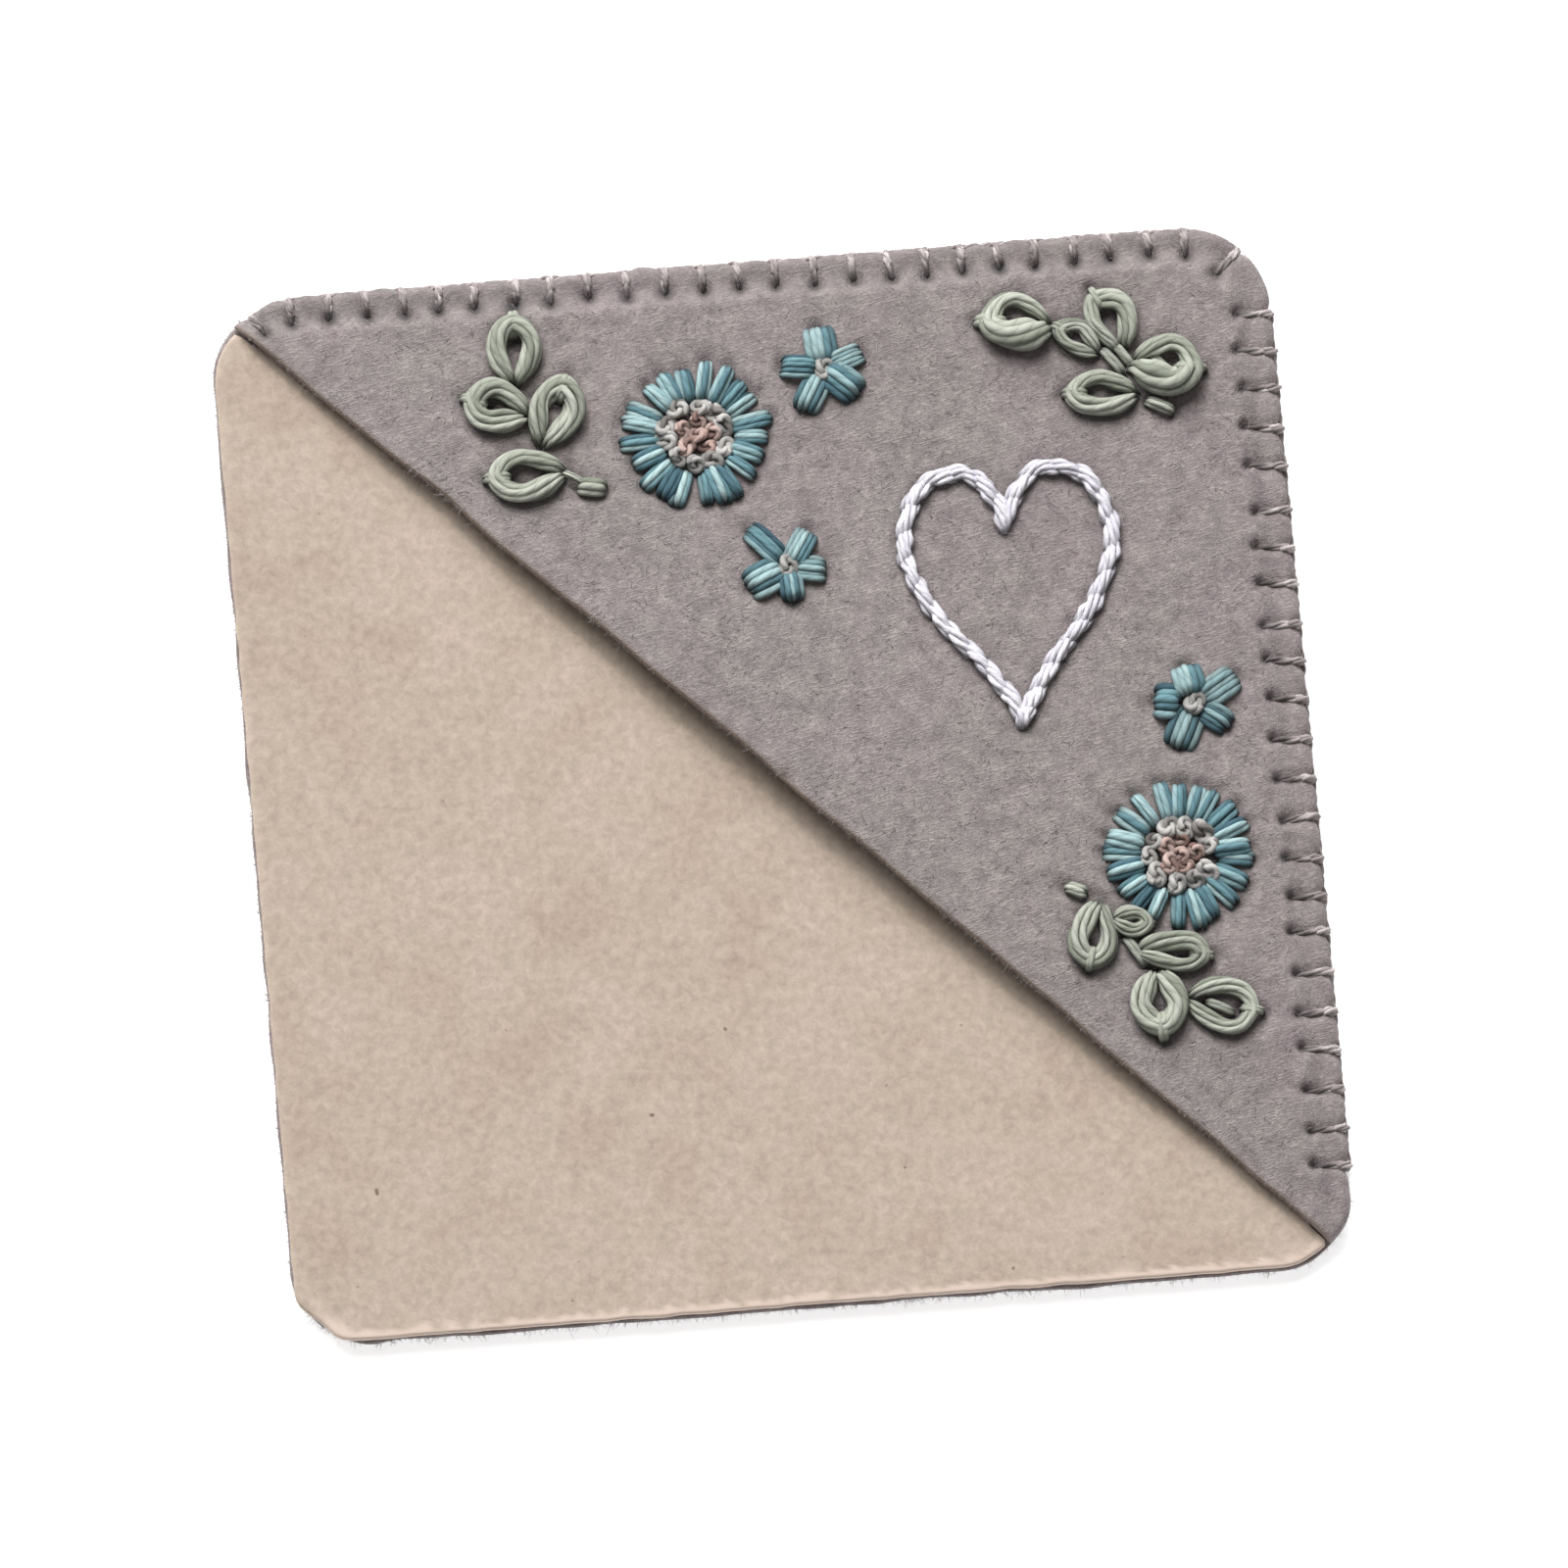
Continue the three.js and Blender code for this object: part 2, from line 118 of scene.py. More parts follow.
def travelled(path):
    """The distance along a polyline to each of its points."""
    steps = np.linalg.norm(np.diff(path, axis=0), axis=1)
    return np.concatenate([[0], np.cumsum(steps)])


def dent(x, y, deep, wide):
    """The depth of a soft round hollow at the origin."""
    return deep * np.exp(-(x**2 + y**2) / wide**2)


def waves(seed, size, count=28):
    """A smooth random field over x and y whose lumps are about size across, from -1 to 1."""
    draw = np.random.default_rng(seed)
    angle = draw.uniform(0, 2 * math.pi, count)
    pitch = 2 * math.pi / (size * draw.uniform(1.3, 3.2, count))
    phase = draw.uniform(0, 2 * math.pi, count)

    def field(x, y):
        total = np.zeros(np.broadcast(x, y).shape)
        for a, k, p in zip(angle, pitch, phase):
            total += np.sin(k * (x * math.cos(a) + y * math.sin(a)) + p)
        return total / math.sqrt(2 * count)

    return field


# ---- the blanket stitches ----


def straight_stitches():
    """Edge points, outward angles and insets of the stitches on the two straight seams."""
    stitches = []
    count, first, step = TOP_SEAM
    for x in first + step * np.arange(count):
        stitches.append((x, HALF, math.radians(90), STITCH_INSET["top"]))
    count, first, step = SIDE_SEAM
    for y in first + step * np.arange(count):
        stitches.append((HALF, y, 0.0, STITCH_INSET["side"]))
    return stitches


def corner_stitch(sign_x, angle, inset):
    """A stitch across the rounded corner on the right (1) or on the left (-1) of the top."""
    x = sign_x * ARC_CENTRE + CORNER_RADIUS * math.cos(angle)
    y = ARC_CENTRE + CORNER_RADIUS * math.sin(angle)
    return (x, y, angle, inset)


def by_hand(stitch):
    """A stitch with a sewer's small slips in its place, slant and depth."""
    x, y, angle, inset = stitch
    slip = rng.normal(0, 0.13)
    x -= slip * math.sin(angle)
    y += slip * math.cos(angle)
    return (x, y, angle + rng.normal(0, 0.06), inset + rng.normal(0, 0.12))


STITCHES = [by_hand(s) for s in straight_stitches()]
STITCHES.append(corner_stitch(1, math.radians(45), STITCH_INSET["corner"]))
STITCHES.append(corner_stitch(-1, math.radians(120), STITCH_INSET["tip"]))


def on_top(stitch):
    """Whether a stitch is on the top seam or round its left tip."""
    return stitch[2] > math.radians(60)


def on_side(stitch):
    """Whether a stitch is on the side seam."""
    return stitch[2] < math.radians(30)


def on_stitch(stitch, x, y):
    """How far out from a stitch's hole a point is, and how far to its side."""
    ex, ey, angle, inset = stitch
    c, s = math.cos(angle), math.sin(angle)
    dx = x - (ex - inset * c)
    dy = y - (ey - inset * s)
    return dx * c + dy * s, dy * c - dx * s


def stitch_press(x, y):
    """How deep the blanket stitches press into the felt, as channels and as pits at the holes."""
    channels = np.zeros(np.broadcast(x, y).shape)
    pits = np.zeros(np.broadcast(x, y).shape)
    for stitch in STITCHES:
        out, side = on_stitch(stitch, x, y)
        groove = GROOVE_DEPTH * np.exp(-((side / GROOVE_WIDTH) ** 2)) * smoothstep(out, -0.5, 0.4)
        channels = np.maximum(channels, groove)
        wide = HOLE_WIDTH["side" if on_side(stitch) else "top"]
        pits = np.maximum(pits, dent(out, side, HOLE_DEPTH, wide))
    return channels, pits


def corner_pull(x, y):
    """How far the corner stitches draw in the pocket's closed corner and its top left tip."""
    closed = dent(x - HALF + 1.8, y - HALF + 1.8, 0.22, 4.2)
    tip = dent(x + HALF - 2.6, y - HALF + 1.0, 0.5, 3.4)
    return closed + tip


def edge_pull(x, y):
    """How far the felt's stitched edges stand out (+) or are pulled in (-) by the thread."""
    pull = EDGE_BULGE - corner_pull(x, y)
    for stitch in STITCHES:
        _, side = on_stitch(stitch, x, y)
        near = np.hypot(x - stitch[0], y - stitch[1]) < 6
        pull -= np.where(near, EDGE_NOTCH * np.exp(-((side / 0.7) ** 2)), 0)
    return pull


def stitched_part(x, y):
    """1 where the square's edges are stitched, fading to 0 where they are free."""
    return smoothstep(x + y, -6, 4)


# ---- the shape of the felt ----


def seam_distance(x, y):
    """Distance in from the two stitched edges and the rounded corner between them."""
    past_x = x - ARC_CENTRE
    past_y = y - ARC_CENTRE
    away = np.hypot(np.maximum(past_x, 0), np.maximum(past_y, 0))
    return CORNER_RADIUS - away - np.minimum(np.maximum(past_x, past_y), 0)


def square_distance(x, y):
    """Distance in from the whole rounded square's edge."""
    return seam_distance(np.abs(x), np.abs(y))


def front_under(x, y):
    """Underside of the front panel: on the back panel at the seams, over the card, bowed."""
    over_card = smoothstep(seam_distance(x, y), SEAM_FLAT, SEAM_FLAT + SEAM_RISE)
    along = (x - y) * DIAGONAL / MOUTH_HALF
    inward = (x + y) * DIAGONAL / BOW_DEPTH
    bow = MOUTH_BOW * np.maximum(0, 1 - along**2) ** 1.5 * np.exp(-(inward**2))
    lift = CARD_TOP + AIR - SEAM_BASE
    return SEAM_BASE + lift * over_card + bow


def front_top(x, y):
    """The front panel's face, before its lumps and pits."""
    return front_under(x, y) + FELT


LUMPS = waves(11, 6.0)
PILLS = waves(12, 1.3, 40)
NEEDLE_HOLES = []


def needle_press(x, y):
    """Small pits where embroidery thread goes down through the felt."""
    depth = np.zeros(np.broadcast(x, y).shape)
    for hx, hy, deep, wide in NEEDLE_HOLES:
        near = np.flatnonzero((np.abs(x - hx) < 3 * wide) & (np.abs(y - hy) < 3 * wide))
        depth[near] = np.maximum(depth[near], dent(x[near] - hx, y[near] - hy, deep, wide))
    return depth


def rounding(distance, radius, drop):
    """How far a cut edge's corner falls away within radius of the edge."""
    t = np.clip(1 - distance / radius, 0, 1)
    return drop * (1 - np.sqrt(np.maximum(0, 1 - t * t)))


# ---- meshes ----


def add_object(name, data):
    """A new object in the scene."""
    made = bpy.data.objects.new(name, data)
    bpy.context.scene.collection.objects.link(made)
    return made


def build(name, points, faces, material, **layers):
    """A smooth-shaded object from points in millimetres, with a number per point for each layer."""
    mesh = bpy.data.meshes.new(name)
    mesh.from_pydata((np.asarray(points) * MM).tolist(), [], faces)
    mesh.validate()
    mesh.polygons.foreach_set("use_smooth", np.ones(len(mesh.polygons), dtype=bool))
    for layer, values in layers.items():
        mesh.attributes.new(layer, "FLOAT", "POINT").data.foreach_set("value", values)
    mesh.materials.append(material)
    return add_object(name, mesh)


# Not quite +Z, so that it is never in line with a thread that runs straight up or down.
NEARLY_UP = (0.03, 0.05, 1.0)


class Thread:
    """Gathers tubes of thread into one piece.

    Each point also gets its place round its tube (across, over) and its way along it, in
    millimetres, for the material's twist.
    """

    def __init__(self):
        self.points = []
        self.faces = []
        self.rounds = []
        self.count = 0

    def tube(self, path, radius, sides=6):
        """A closed tube along path. radius is one number, or one for each point."""
        path = np.asarray(path, dtype=float)
        radius = np.broadcast_to(radius, len(path))
        travel = rng.uniform(0, 9) + travelled(path)
        tangent = unit(np.gradient(path, axis=0))
        across = unit(np.cross(tangent[0], NEARLY_UP))
        turn = np.linspace(0, 2 * math.pi, sides, endpoint=False)
        for point, way, r, far in zip(path, tangent, radius, travel):
            across = unit(across - way * across.dot(way))
            up = np.cross(way, across)
            ring = np.outer(np.cos(turn), across) + np.outer(np.sin(turn), up)
            self.points.append(point + r * ring)
            self.rounds.append(np.column_stack([np.cos(turn), np.sin(turn), np.full(sides, far)]))
        first = self.count
        for i in range(len(path) - 1):
            for j in range(sides):
                a = first + i * sides + j
                b = first + i * sides + (j + 1) % sides
                self.faces.append((a, b, b + sides, a + sides))
        last = first + (len(path) - 1) * sides
        self.faces.append(tuple(range(first + sides - 1, first - 1, -1)))
        self.faces.append(tuple(range(last, last + sides)))
        self.count += len(path) * sides

    def bundle(self, path, strands, spread, radius, turns_per_mm, flat):
        """Strands laid side by side and lightly twisted along path.

        spread and radius are one number each, or one for each point. flat is the bundle's height
        as a share of its width.
        """
        path = np.asarray(path, dtype=float)
        spread = np.broadcast_to(spread, len(path))[:, None]
        tangent = unit(np.gradient(path, axis=0))
        across = unit(np.cross(tangent, NEARLY_UP))
        up = np.cross(across, tangent)
        start = rng.uniform(0, 2 * math.pi)
        for strand in range(strands):
            a = start + 2 * math.pi * (strand / strands + turns_per_mm * travelled(path))
            side = np.cos(a)[:, None] * across + flat * np.sin(a)[:, None] * up
            wander = curve(rng.normal(0, 0.22, (7, 1)), len(path))
            self.tube(path + spread * (1 + wander) * side, radius)

    def piece(self, name, material, crown=0.9):
        """The tubes as one object. crown is how high above the felt they are fully lit."""
        points = np.concatenate(self.points)
        x, y, z = points.T
        rim = 1 - smoothstep(seam_distance(x, y), 0.8, 2.0)
        lift = np.maximum(rim, smoothstep(z - front_top(x, y), -0.3, crown))
        across, over, travel = np.concatenate(self.rounds).T
        twist = {"across": across, "over": over, "travel": travel}
        return build(name, points, self.faces, material, lift=lift, **twist)


def curve(knots, steps):
    """A smooth path through the knots (Catmull-Rom), with even parameter steps."""
    k = np.asarray(knots, dtype=float)
    k = np.concatenate([[2 * k[0] - k[1]], k, [2 * k[-1] - k[-2]]])
    t = np.linspace(0, len(k) - 3 - 1e-9, steps)
    i = t.astype(int)
    f = (t - i)[:, None]
    p0, p1, p2, p3 = k[i], k[i + 1], k[i + 2], k[i + 3]
    return 0.5 * (
        2 * p1
        + (p2 - p0) * f
        + (2 * p0 - 5 * p1 + 4 * p2 - p3) * f**2
        + (3 * p1 - p0 - 3 * p2 + p3) * f**3
    )


def on_felt(xy, heights):
    """Points over the front panel: xy pairs, each so high above the felt's surface."""
    xy = np.asarray(xy, dtype=float)
    z = front_top(*xy.T) + np.asarray(heights)
    return np.column_stack([xy, z])


def pit(x, y, deep, wide):
    """Notes a place where thread presses into the front panel, for needle_press."""
    NEEDLE_HOLES.append((x, y, deep, wide))


# ---- materials ----


def linear(red, green, blue):
    """An sRGB colour, 0 to 255, as Blender's linear one."""
    out = []
    for value in (red, green, blue):
        v = value / 255
        out.append(v / 12.92 if v <= 0.04045 else ((v + 0.055) / 1.055) ** 2.4)
    return (*out, 1.0)


class Look:
    """A Principled material with helpers for procedural colour and bump."""

    def __init__(self, name, roughness, sheen=0.0):
        self.material = bpy.data.materials.new(name)
        self.material.use_nodes = True
        self.nodes = self.material.node_tree.nodes
        self.links = self.material.node_tree.links
        self.shader = self.nodes["Principled BSDF"]
        self.feed(self.shader, {"Roughness": roughness, "Specular IOR Level": 0.25})
        self.feed(self.shader, {"Sheen Weight": sheen, "Sheen Roughness": 0.6})
        self.place = self.nodes.new("ShaderNodeTexCoord").outputs["Object"]
        self.height = None

    def feed(self, node, values):
        """Sets or links a node's inputs, each from a value or from another node's socket."""
        for name, value in values.items():
            if isinstance(value, bpy.types.NodeSocket):
                self.links.new(value, node.inputs[name])
            else:
                node.inputs[name].default_value = value

    def noise(self, size, detail=2.0, rough=0.5, distortion=0.0, stretch=1.0, turn=0.0):
        """Noise whose lumps are about size millimetres across, drawn out stretch times."""
        mapping = self.nodes.new("ShaderNodeMapping")
        mapping.vector_type = "TEXTURE"
        rotation = (0, 0, math.radians(turn))
        self.feed(mapping, {"Vector": self.place, "Rotation": rotation, "Scale": (stretch, 1, 1)})
        node = self.nodes.new("ShaderNodeTexNoise")
        self.feed(node, {"Vector": mapping.outputs["Vector"], "Scale": 1 / (size * MM)})
        self.feed(node, {"Detail": detail, "Roughness": rough, "Distortion": distortion})
        return node.outputs["Fac"]

    def layer(self, name):
        """The number that the mesh holds at each point under this name."""
        node = self.nodes.new("ShaderNodeAttribute")
        node.attribute_name = name
        return node.outputs["Fac"]

    def ramp(self, value, stops):
        """A colour for each value, from (value, colour) stops."""
        node = self.nodes.new("ShaderNodeValToRGB")
        ramp = node.color_ramp
        while len(ramp.elements) < len(stops):
            ramp.elements.new(0.5)
        for element, (at, colour) in zip(ramp.elements, stops):
            element.position = at
            element.color = colour
        self.feed(node, {"Fac": value})
        return node.outputs["Color"]

    def mix(self, a, b, factor, mode="MIX"):
        """Colours a and b blended."""
        node = self.nodes.new("ShaderNodeMix")
        node.data_type = "RGBA"
        node.blend_type = mode
        self.feed(node, {0: factor, 6: a, 7: b})
        return node.outputs[2]

    def times(self, a, b):
        """Colours a and b multiplied."""
        return self.mix(a, b, 1.0, "MULTIPLY")

    def math(self, operation, a, b=0.0):
        """One step of arithmetic on numbers or sockets."""
        node = self.nodes.new("ShaderNodeMath")
        node.operation = operation
        self.feed(node, {0: a, 1: b})
        return node.outputs[0]

    def island(self):
        """A random number for each separate strand or fibre."""
        return self.nodes.new("ShaderNodeNewGeometry").outputs["Random Per Island"]

    def colour(self, value):
        self.feed(self.shader, {"Base Color": value})

    def bump(self, value, height, strength):
        """Adds a bump whose highest points stand height millimetres proud."""
        node = self.nodes.new("ShaderNodeBump")
        self.feed(node, {"Height": value, "Distance": height * MM, "Strength": strength})
        if self.height is not None:
            self.feed(node, {"Normal": self.height})
        self.height = node.outputs["Normal"]
        self.feed(self.shader, {"Normal": self.height})


def grey(value):
    """A linear grey."""
    return (value, value, value, 1.0)


def felt_look():
    """Wool-mix felt: matted fibres in every direction, blotched light and dark.

    Its shade layer paints shade into its pits and pressed seams, and its cut layer paints light
    bounced brownish from the card onto its cut edge.
    """
    look = Look("felt", 0.95, sheen=0.12)
    blotch = look.noise(1.5, detail=3, rough=0.6, distortion=0.3)
    dark, mid, light = linear(137, 125, 126), linear(154, 143, 143), linear(168, 158, 156)
    base = look.ramp(blotch, [(0.32, dark), (0.5, mid), (0.68, light)])
    warm, cool = linear(161, 147, 150), linear(150, 148, 142)
    tint = look.ramp(look.noise(9.0, detail=2), [(0.35, warm), (0.65, cool)])
    base = look.mix(tint, base, 0.72)
    fibres = None
    for turn in (12, 74, 131):
        strands = look.noise(0.13, detail=2, rough=0.6, distortion=0.6, stretch=5.0, turn=turn)
        lit = look.ramp(strands, [(0.46, grey(0.0)), (0.64, grey(1.0))])
        fibres = lit if fibres is None else look.mix(fibres, lit, 0.5, "SCREEN")
    shaded = look.times(look.ramp(fibres, [(0.0, grey(0.8)), (1.0, grey(1.16))]), base)
    # Painted light bounced brownish from the card, on the mouth's cut edge.
    edge = look.mix(shaded, linear(160, 142, 130), look.layer("cut"))
    # Painted shade, from the mesh's shade layer.
    shade = look.ramp(look.layer("shade"), [(0.0, grey(0.16)), (1.0, grey(1.0))])
    look.colour(look.times(shade, edge))
    look.bump(blotch, 0.22, 0.6)
    look.bump(fibres, 0.08, 0.7)
    return look.material


def fuzz_look():
    """Loose wool fibres, each its own shade of the felt."""
    look = Look("felt_fuzz", 0.9, sheen=0.2)
    dark, mid, light = linear(130, 120, 120), linear(148, 137, 137), linear(186, 176, 174)
    look.colour(look.ramp(look.island(), [(0.0, dark), (0.5, mid), (1.0, light)]))
    return look.material


def kraft_look():
    """Uncoated kraft board: fine pulp grain, faint clouding, a few dark flecks, a pale rim partly
    rubbed by use and partly painted highlight.
    """
    look = Look("kraft", 0.85)
    cloud = look.noise(6.0, detail=3, rough=0.55)
    dark, mid, light = linear(184, 165, 150), linear(190, 174, 158), linear(194, 177, 163)
    base = look.ramp(cloud, [(0.3, dark), (0.5, mid), (0.7, light)])
    pulp = look.noise(0.75, detail=4, rough=0.75, distortion=0.4)
    base = look.times(look.ramp(pulp, [(0.3, grey(0.82)), (0.7, grey(1.14))]), base)
    flecks = look.noise(1.1, detail=1, rough=0.4)
    specks = look.ramp(flecks, [(0.785, grey(0.0)), (0.83, grey(1.0))])
    base = look.mix(base, linear(132, 112, 96), specks)
    # The pale rim: partly rubbed by use and partly a painted highlight.
    worn_and_highlit = look.mix(base, linear(226, 206, 192), look.layer("wear"))
    look.colour(worn_and_highlit)
    look.bump(pulp, 0.03, 0.6)
    return look.material


# How far a strand's two plies take for one turn, in millimetres.
TWIST_PITCH = 2.6


def thread_look(name, dark, mid, light, depth=0.14):
    """Stranded cotton: each strand its own shade, two plies twisted, with painted shade down in
    gaps.

    dark, mid and light are its shades, and depth how bright it still is down in the felt. The
    mesh's lift layer says how far a point stands out of the felt, from 0 to 1. across, over and
    travel place it round and along its strand, for the twist.
    """
    look = Look(name, 0.66, sheen=0.08)
    shades = [(0.0, linear(*dark)), (0.45, linear(*mid)), (1.0, linear(*light))]
    strand = look.ramp(look.island(), shades)
    around = look.math("ARCTAN2", look.layer("over"), look.layer("across"))
    winding = look.math("MULTIPLY", look.layer("travel"), 2 * math.pi / TWIST_PITCH)
    plies = look.math("ABSOLUTE", look.math("SINE", look.math("ADD", around, winding)))
    fibre = look.noise(0.09, detail=2, rough=0.6, distortion=1.2)
    # Painted shade in the grooves between the two plies.
    twist = look.ramp(plies, [(0.0, grey(0.74)), (0.3, grey(0.96)), (1.0, grey(1.05))])
    fine = look.times(twist, strand)
    fine = look.times(look.ramp(fibre, [(0.3, grey(0.84)), (0.7, grey(1.1))]), fine)
    # Painted shade down in the felt and a painted highlight on the crowns, from the lift layer.
    deep = look.ramp(look.layer("lift"), [(0.0, grey(depth)), (0.5, grey(0.6)), (1.0, grey(1.08))])
    look.colour(look.times(deep, fine))
    look.bump(plies, 0.04, 0.8)
    look.bump(fibre, 0.05, 0.8)
    return look.material


FELT_LOOK = felt_look()
FUZZ_LOOK = fuzz_look()
KRAFT_LOOK = kraft_look()
TAUPE = thread_look("taupe_thread", (140, 130, 129), (164, 154, 153), (204, 195, 194), 0.32)
WHITE = thread_look("white_thread", (222, 218, 228), (234, 231, 239), (243, 241, 247), 0.4)
TEAL = thread_look("teal_thread", (62, 96, 110), (112, 152, 160), (188, 214, 214))
SAGE = thread_look("sage_thread", (136, 141, 127), (163, 167, 153), (198, 201, 188), 0.24)
CREAM = thread_look("cream_thread", (124, 117, 114), (176, 173, 170), (220, 217, 212))
PINK = thread_look("pink_thread", (128, 99, 92), (186, 155, 145), (220, 198, 190))


# ---- embroidery ----


def satin(thread, start, end, width, height, strands, ends):
    """A plump straight stitch: strands side by side that dive into the felt at both ends.

    ends says how wide its start and its end are, as shares of width.
    """
    start, end = np.asarray(start, dtype=float), np.asarray(end, dtype=float)
    way = unit(end - start)
    side = np.array([-way[1], way[0]])
    t = (1 - np.cos(np.linspace(0, math.pi, 17))) / 2
    arch = (1 - np.abs(2 * t - 1) ** 4) ** 0.5
    narrow = np.where(t < 0.5, ends[0], ends[1])
    spread = narrow + (1 - narrow) * arch
    buried = 0.4
    radius = 0.62 * width / strands
    order = rng.permutation(strands)
    for strand, lane in enumerate(np.linspace(-1, 1, strands)):
        off = lane * (width / 2 - radius) * spread + rng.normal(0, 0.03)
        xy = start + np.outer(t, end - start) + np.outer(off, side) + rng.normal(0, 0.06) * way
        crown = height * (1 - 0.3 * lane**2) + 0.06 * order[strand]
        up = arch * (crown - radius) - buried * (1 - arch)
        thread.tube(on_felt(xy, up), radius * (0.7 + 0.3 * arch), sides=7)
    for share, deep in ((0.0, 0.6), (0.3, 0.4), (0.7, 0.4), (1.0, 0.6)):
        pit(*(start + share * (end - start)), deep, 0.65)


def french_knot(thread, x, y, size):
    """A French knot: thread wound round itself into a small ring with a pit in the middle."""
    strands = 2
    ring = size * 0.28
    thick = size * 0.1
    radius = size * 0.155
    coils = rng.uniform(1.0, 1.2)
    start = rng.uniform(0, 2 * math.pi)
    lean = rng.uniform(0.1, 0.3)
    steps = 30
    turn = start + np.linspace(0, 2 * math.pi * coils, steps)
    base = front_top(x, y)
    rise = np.linspace(-0.1, 0.15, steps) + lean * np.cos(turn - start)
    lop = 1 + lean * np.cos(2 * turn + start)
    for strand in range(strands):
        roll = 2 * math.pi * strand / strands + 1.4 * (turn - start)
        reach = ring * lop + thick * np.cos(roll)
        z = base + 0.22 * size + thick * np.sin(roll) + rise
        path = np.column_stack([x + reach * np.cos(turn), y + reach * np.sin(turn), z])
        thread.tube(path, radius)
    pit(x, y, 0.5, size * 0.6)


def leaf(thread, base, tip, bulge, thick):
    """A detached chain stitch: a loop from its base round a small stitch that pins its tip.

    bulge says how far its left and right sides reach from the line from base to tip, and thick
    how thick the thread lies on each side.
    """
    base, tip = np.asarray(base, dtype=float), np.asarray(tip, dtype=float)
    way = unit(tip - base)
    side = np.array([-way[1], way[0]])
    length = np.linalg.norm(tip - base)
    outline = [(0.02, 0.1), (0.28, 0.66), (0.6, 1.0), (0.86, 0.78), (1.0, 0.0)]  # along, reach
    end = sum(thick) / 4
    knots = []
    for which, sign, places in ((0, 1, outline), (1, -1, outline[-2::-1])):
        for along, share in places:
            reach = max(bulge[which] - thick[which] / 2, 0.1) * share * rng.uniform(0.88, 1.08)
            knots.append(base + way * (length - end) * along + sign * reach * side)
    steps = 52
    path = curve(knots, steps)
    share = np.linspace(0, 1, steps)
    wide = thick[0] + (thick[1] - thick[0]) * smoothstep(share, 0.35, 0.65)
    ends = np.minimum(share, 1 - share)
    narrow = 0.55 + 0.45 * smoothstep(ends, 0, 0.16)
    heights = 0.42 * wide - 0.8 * wide * (1 - smoothstep(ends, 0, 0.07)) + 0.1 * rng.normal()
    route = on_felt(path, heights)
    wide = wide * narrow
    thread.bundle(route, 6, 0.32 * wide, 0.19 * wide, turns_per_mm=0.04, flat=0.85)
    thread.tube(route, 0.2 * wide)
    inside, outside = tip - way * (end * 2.3), tip + way * 0.12
    satin(thread, inside, outside, thick[0] * 0.5, 1.05 * end * 2, strands=2, ends=(0.8, 0.8))
    pit(*base, 0.5, 0.8)
    pit(*(tip - way * end * 2.6), 0.5, 0.7)
    for point in path[4:-4:5]:
        pit(*point, 0.45, 0.95)


def ride_and_replace(piece, node, body="sleeve"):
    """The piece stands in for a CAD node: it rides on a body and the node is hidden."""
    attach(piece, body)
    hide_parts(node)


def ring_of_petals(count, inner, outer, width, turn, slips=1.0):
    """Petals round a flower with a sewer's slips: angle, inner and outer radius, width."""
    ring = []
    for i in range(count):
        angle = turn + 360 * i / count + slips * rng.normal(0, 2.6)
        near = inner + slips * rng.normal(0, 0.14)
        far = outer + slips * rng.normal(0, 0.22)
        ring.append((angle, near, far, width * (1 + slips * rng.normal(0, 0.09))))
    return ring


def petals(name, x, y, ring, height, slip, strands, ends, crown):
    """A flower's petals, one straight stitch each. Their height varies by slip."""
    thread = Thread()
    for angle, inner, outer, width in ring:
        way = heading(math.radians(angle))
        start, end = (x, y) + inner * way, (x, y) + outer * way
        satin(thread, start, end, width, height + rng.normal(0, slip), strands, ends)
    piece = thread.piece(f"{name}_petal_stitches", TEAL, crown=crown)
    ride_and_replace(piece, f"{name}_petals")


def rosette(name, x, y, turn):
    """A large flower: a ring of straight-stitch petals round two rings of French knots."""
    ring = ring_of_petals(21, 3.0, 5.75, 1.36, turn)
    petals(name, x, y, ring, 0.88, 0.16, strands=3, ends=(0.5, 0.85), crown=0.9)
    for suffix, node, rings, material, slot in (
        ("outer_knots", "knots", [(10, 2.4, 1.75)], CREAM, "cream_thread"),
        ("centre_knots", "centre", [(5, 1.25, 1.65), (1, 0.1, 1.5)], PINK, "pink_thread"),
    ):
        thread = Thread()
        for count, radius, size in rings:
            for i in range(count):
                angle = math.radians(turn + 360 * i / count + rng.normal(0, 5))
                reach = radius + rng.normal(0, 0.12)
                knot = size * rng.uniform(0.85, 1.12)
                french_knot(thread, x + reach * math.cos(angle), y + reach * math.sin(angle), knot)
        knots = thread.piece(f"{name}_{suffix}", material, crown=1.2)
        ride_and_replace(knots, f"{name}_{node}")


def floret(name, x, y, turn):
    """A small flower of five plump petals round one knot."""
    ring = ring_of_petals(5, 0.7, 3.3, 2.4, turn, slips=1.9)
    petals(name, x, y, ring, 0.95, 0.18, strands=5, ends=(0.4, 0.8), crown=1.4)
    thread = Thread()
    french_knot(thread, x, y, 1.9)
    knot = thread.piece(f"{name}_knot_stitch", CREAM, crown=1.6)
    ride_and_replace(knot, f"{name}_knot")


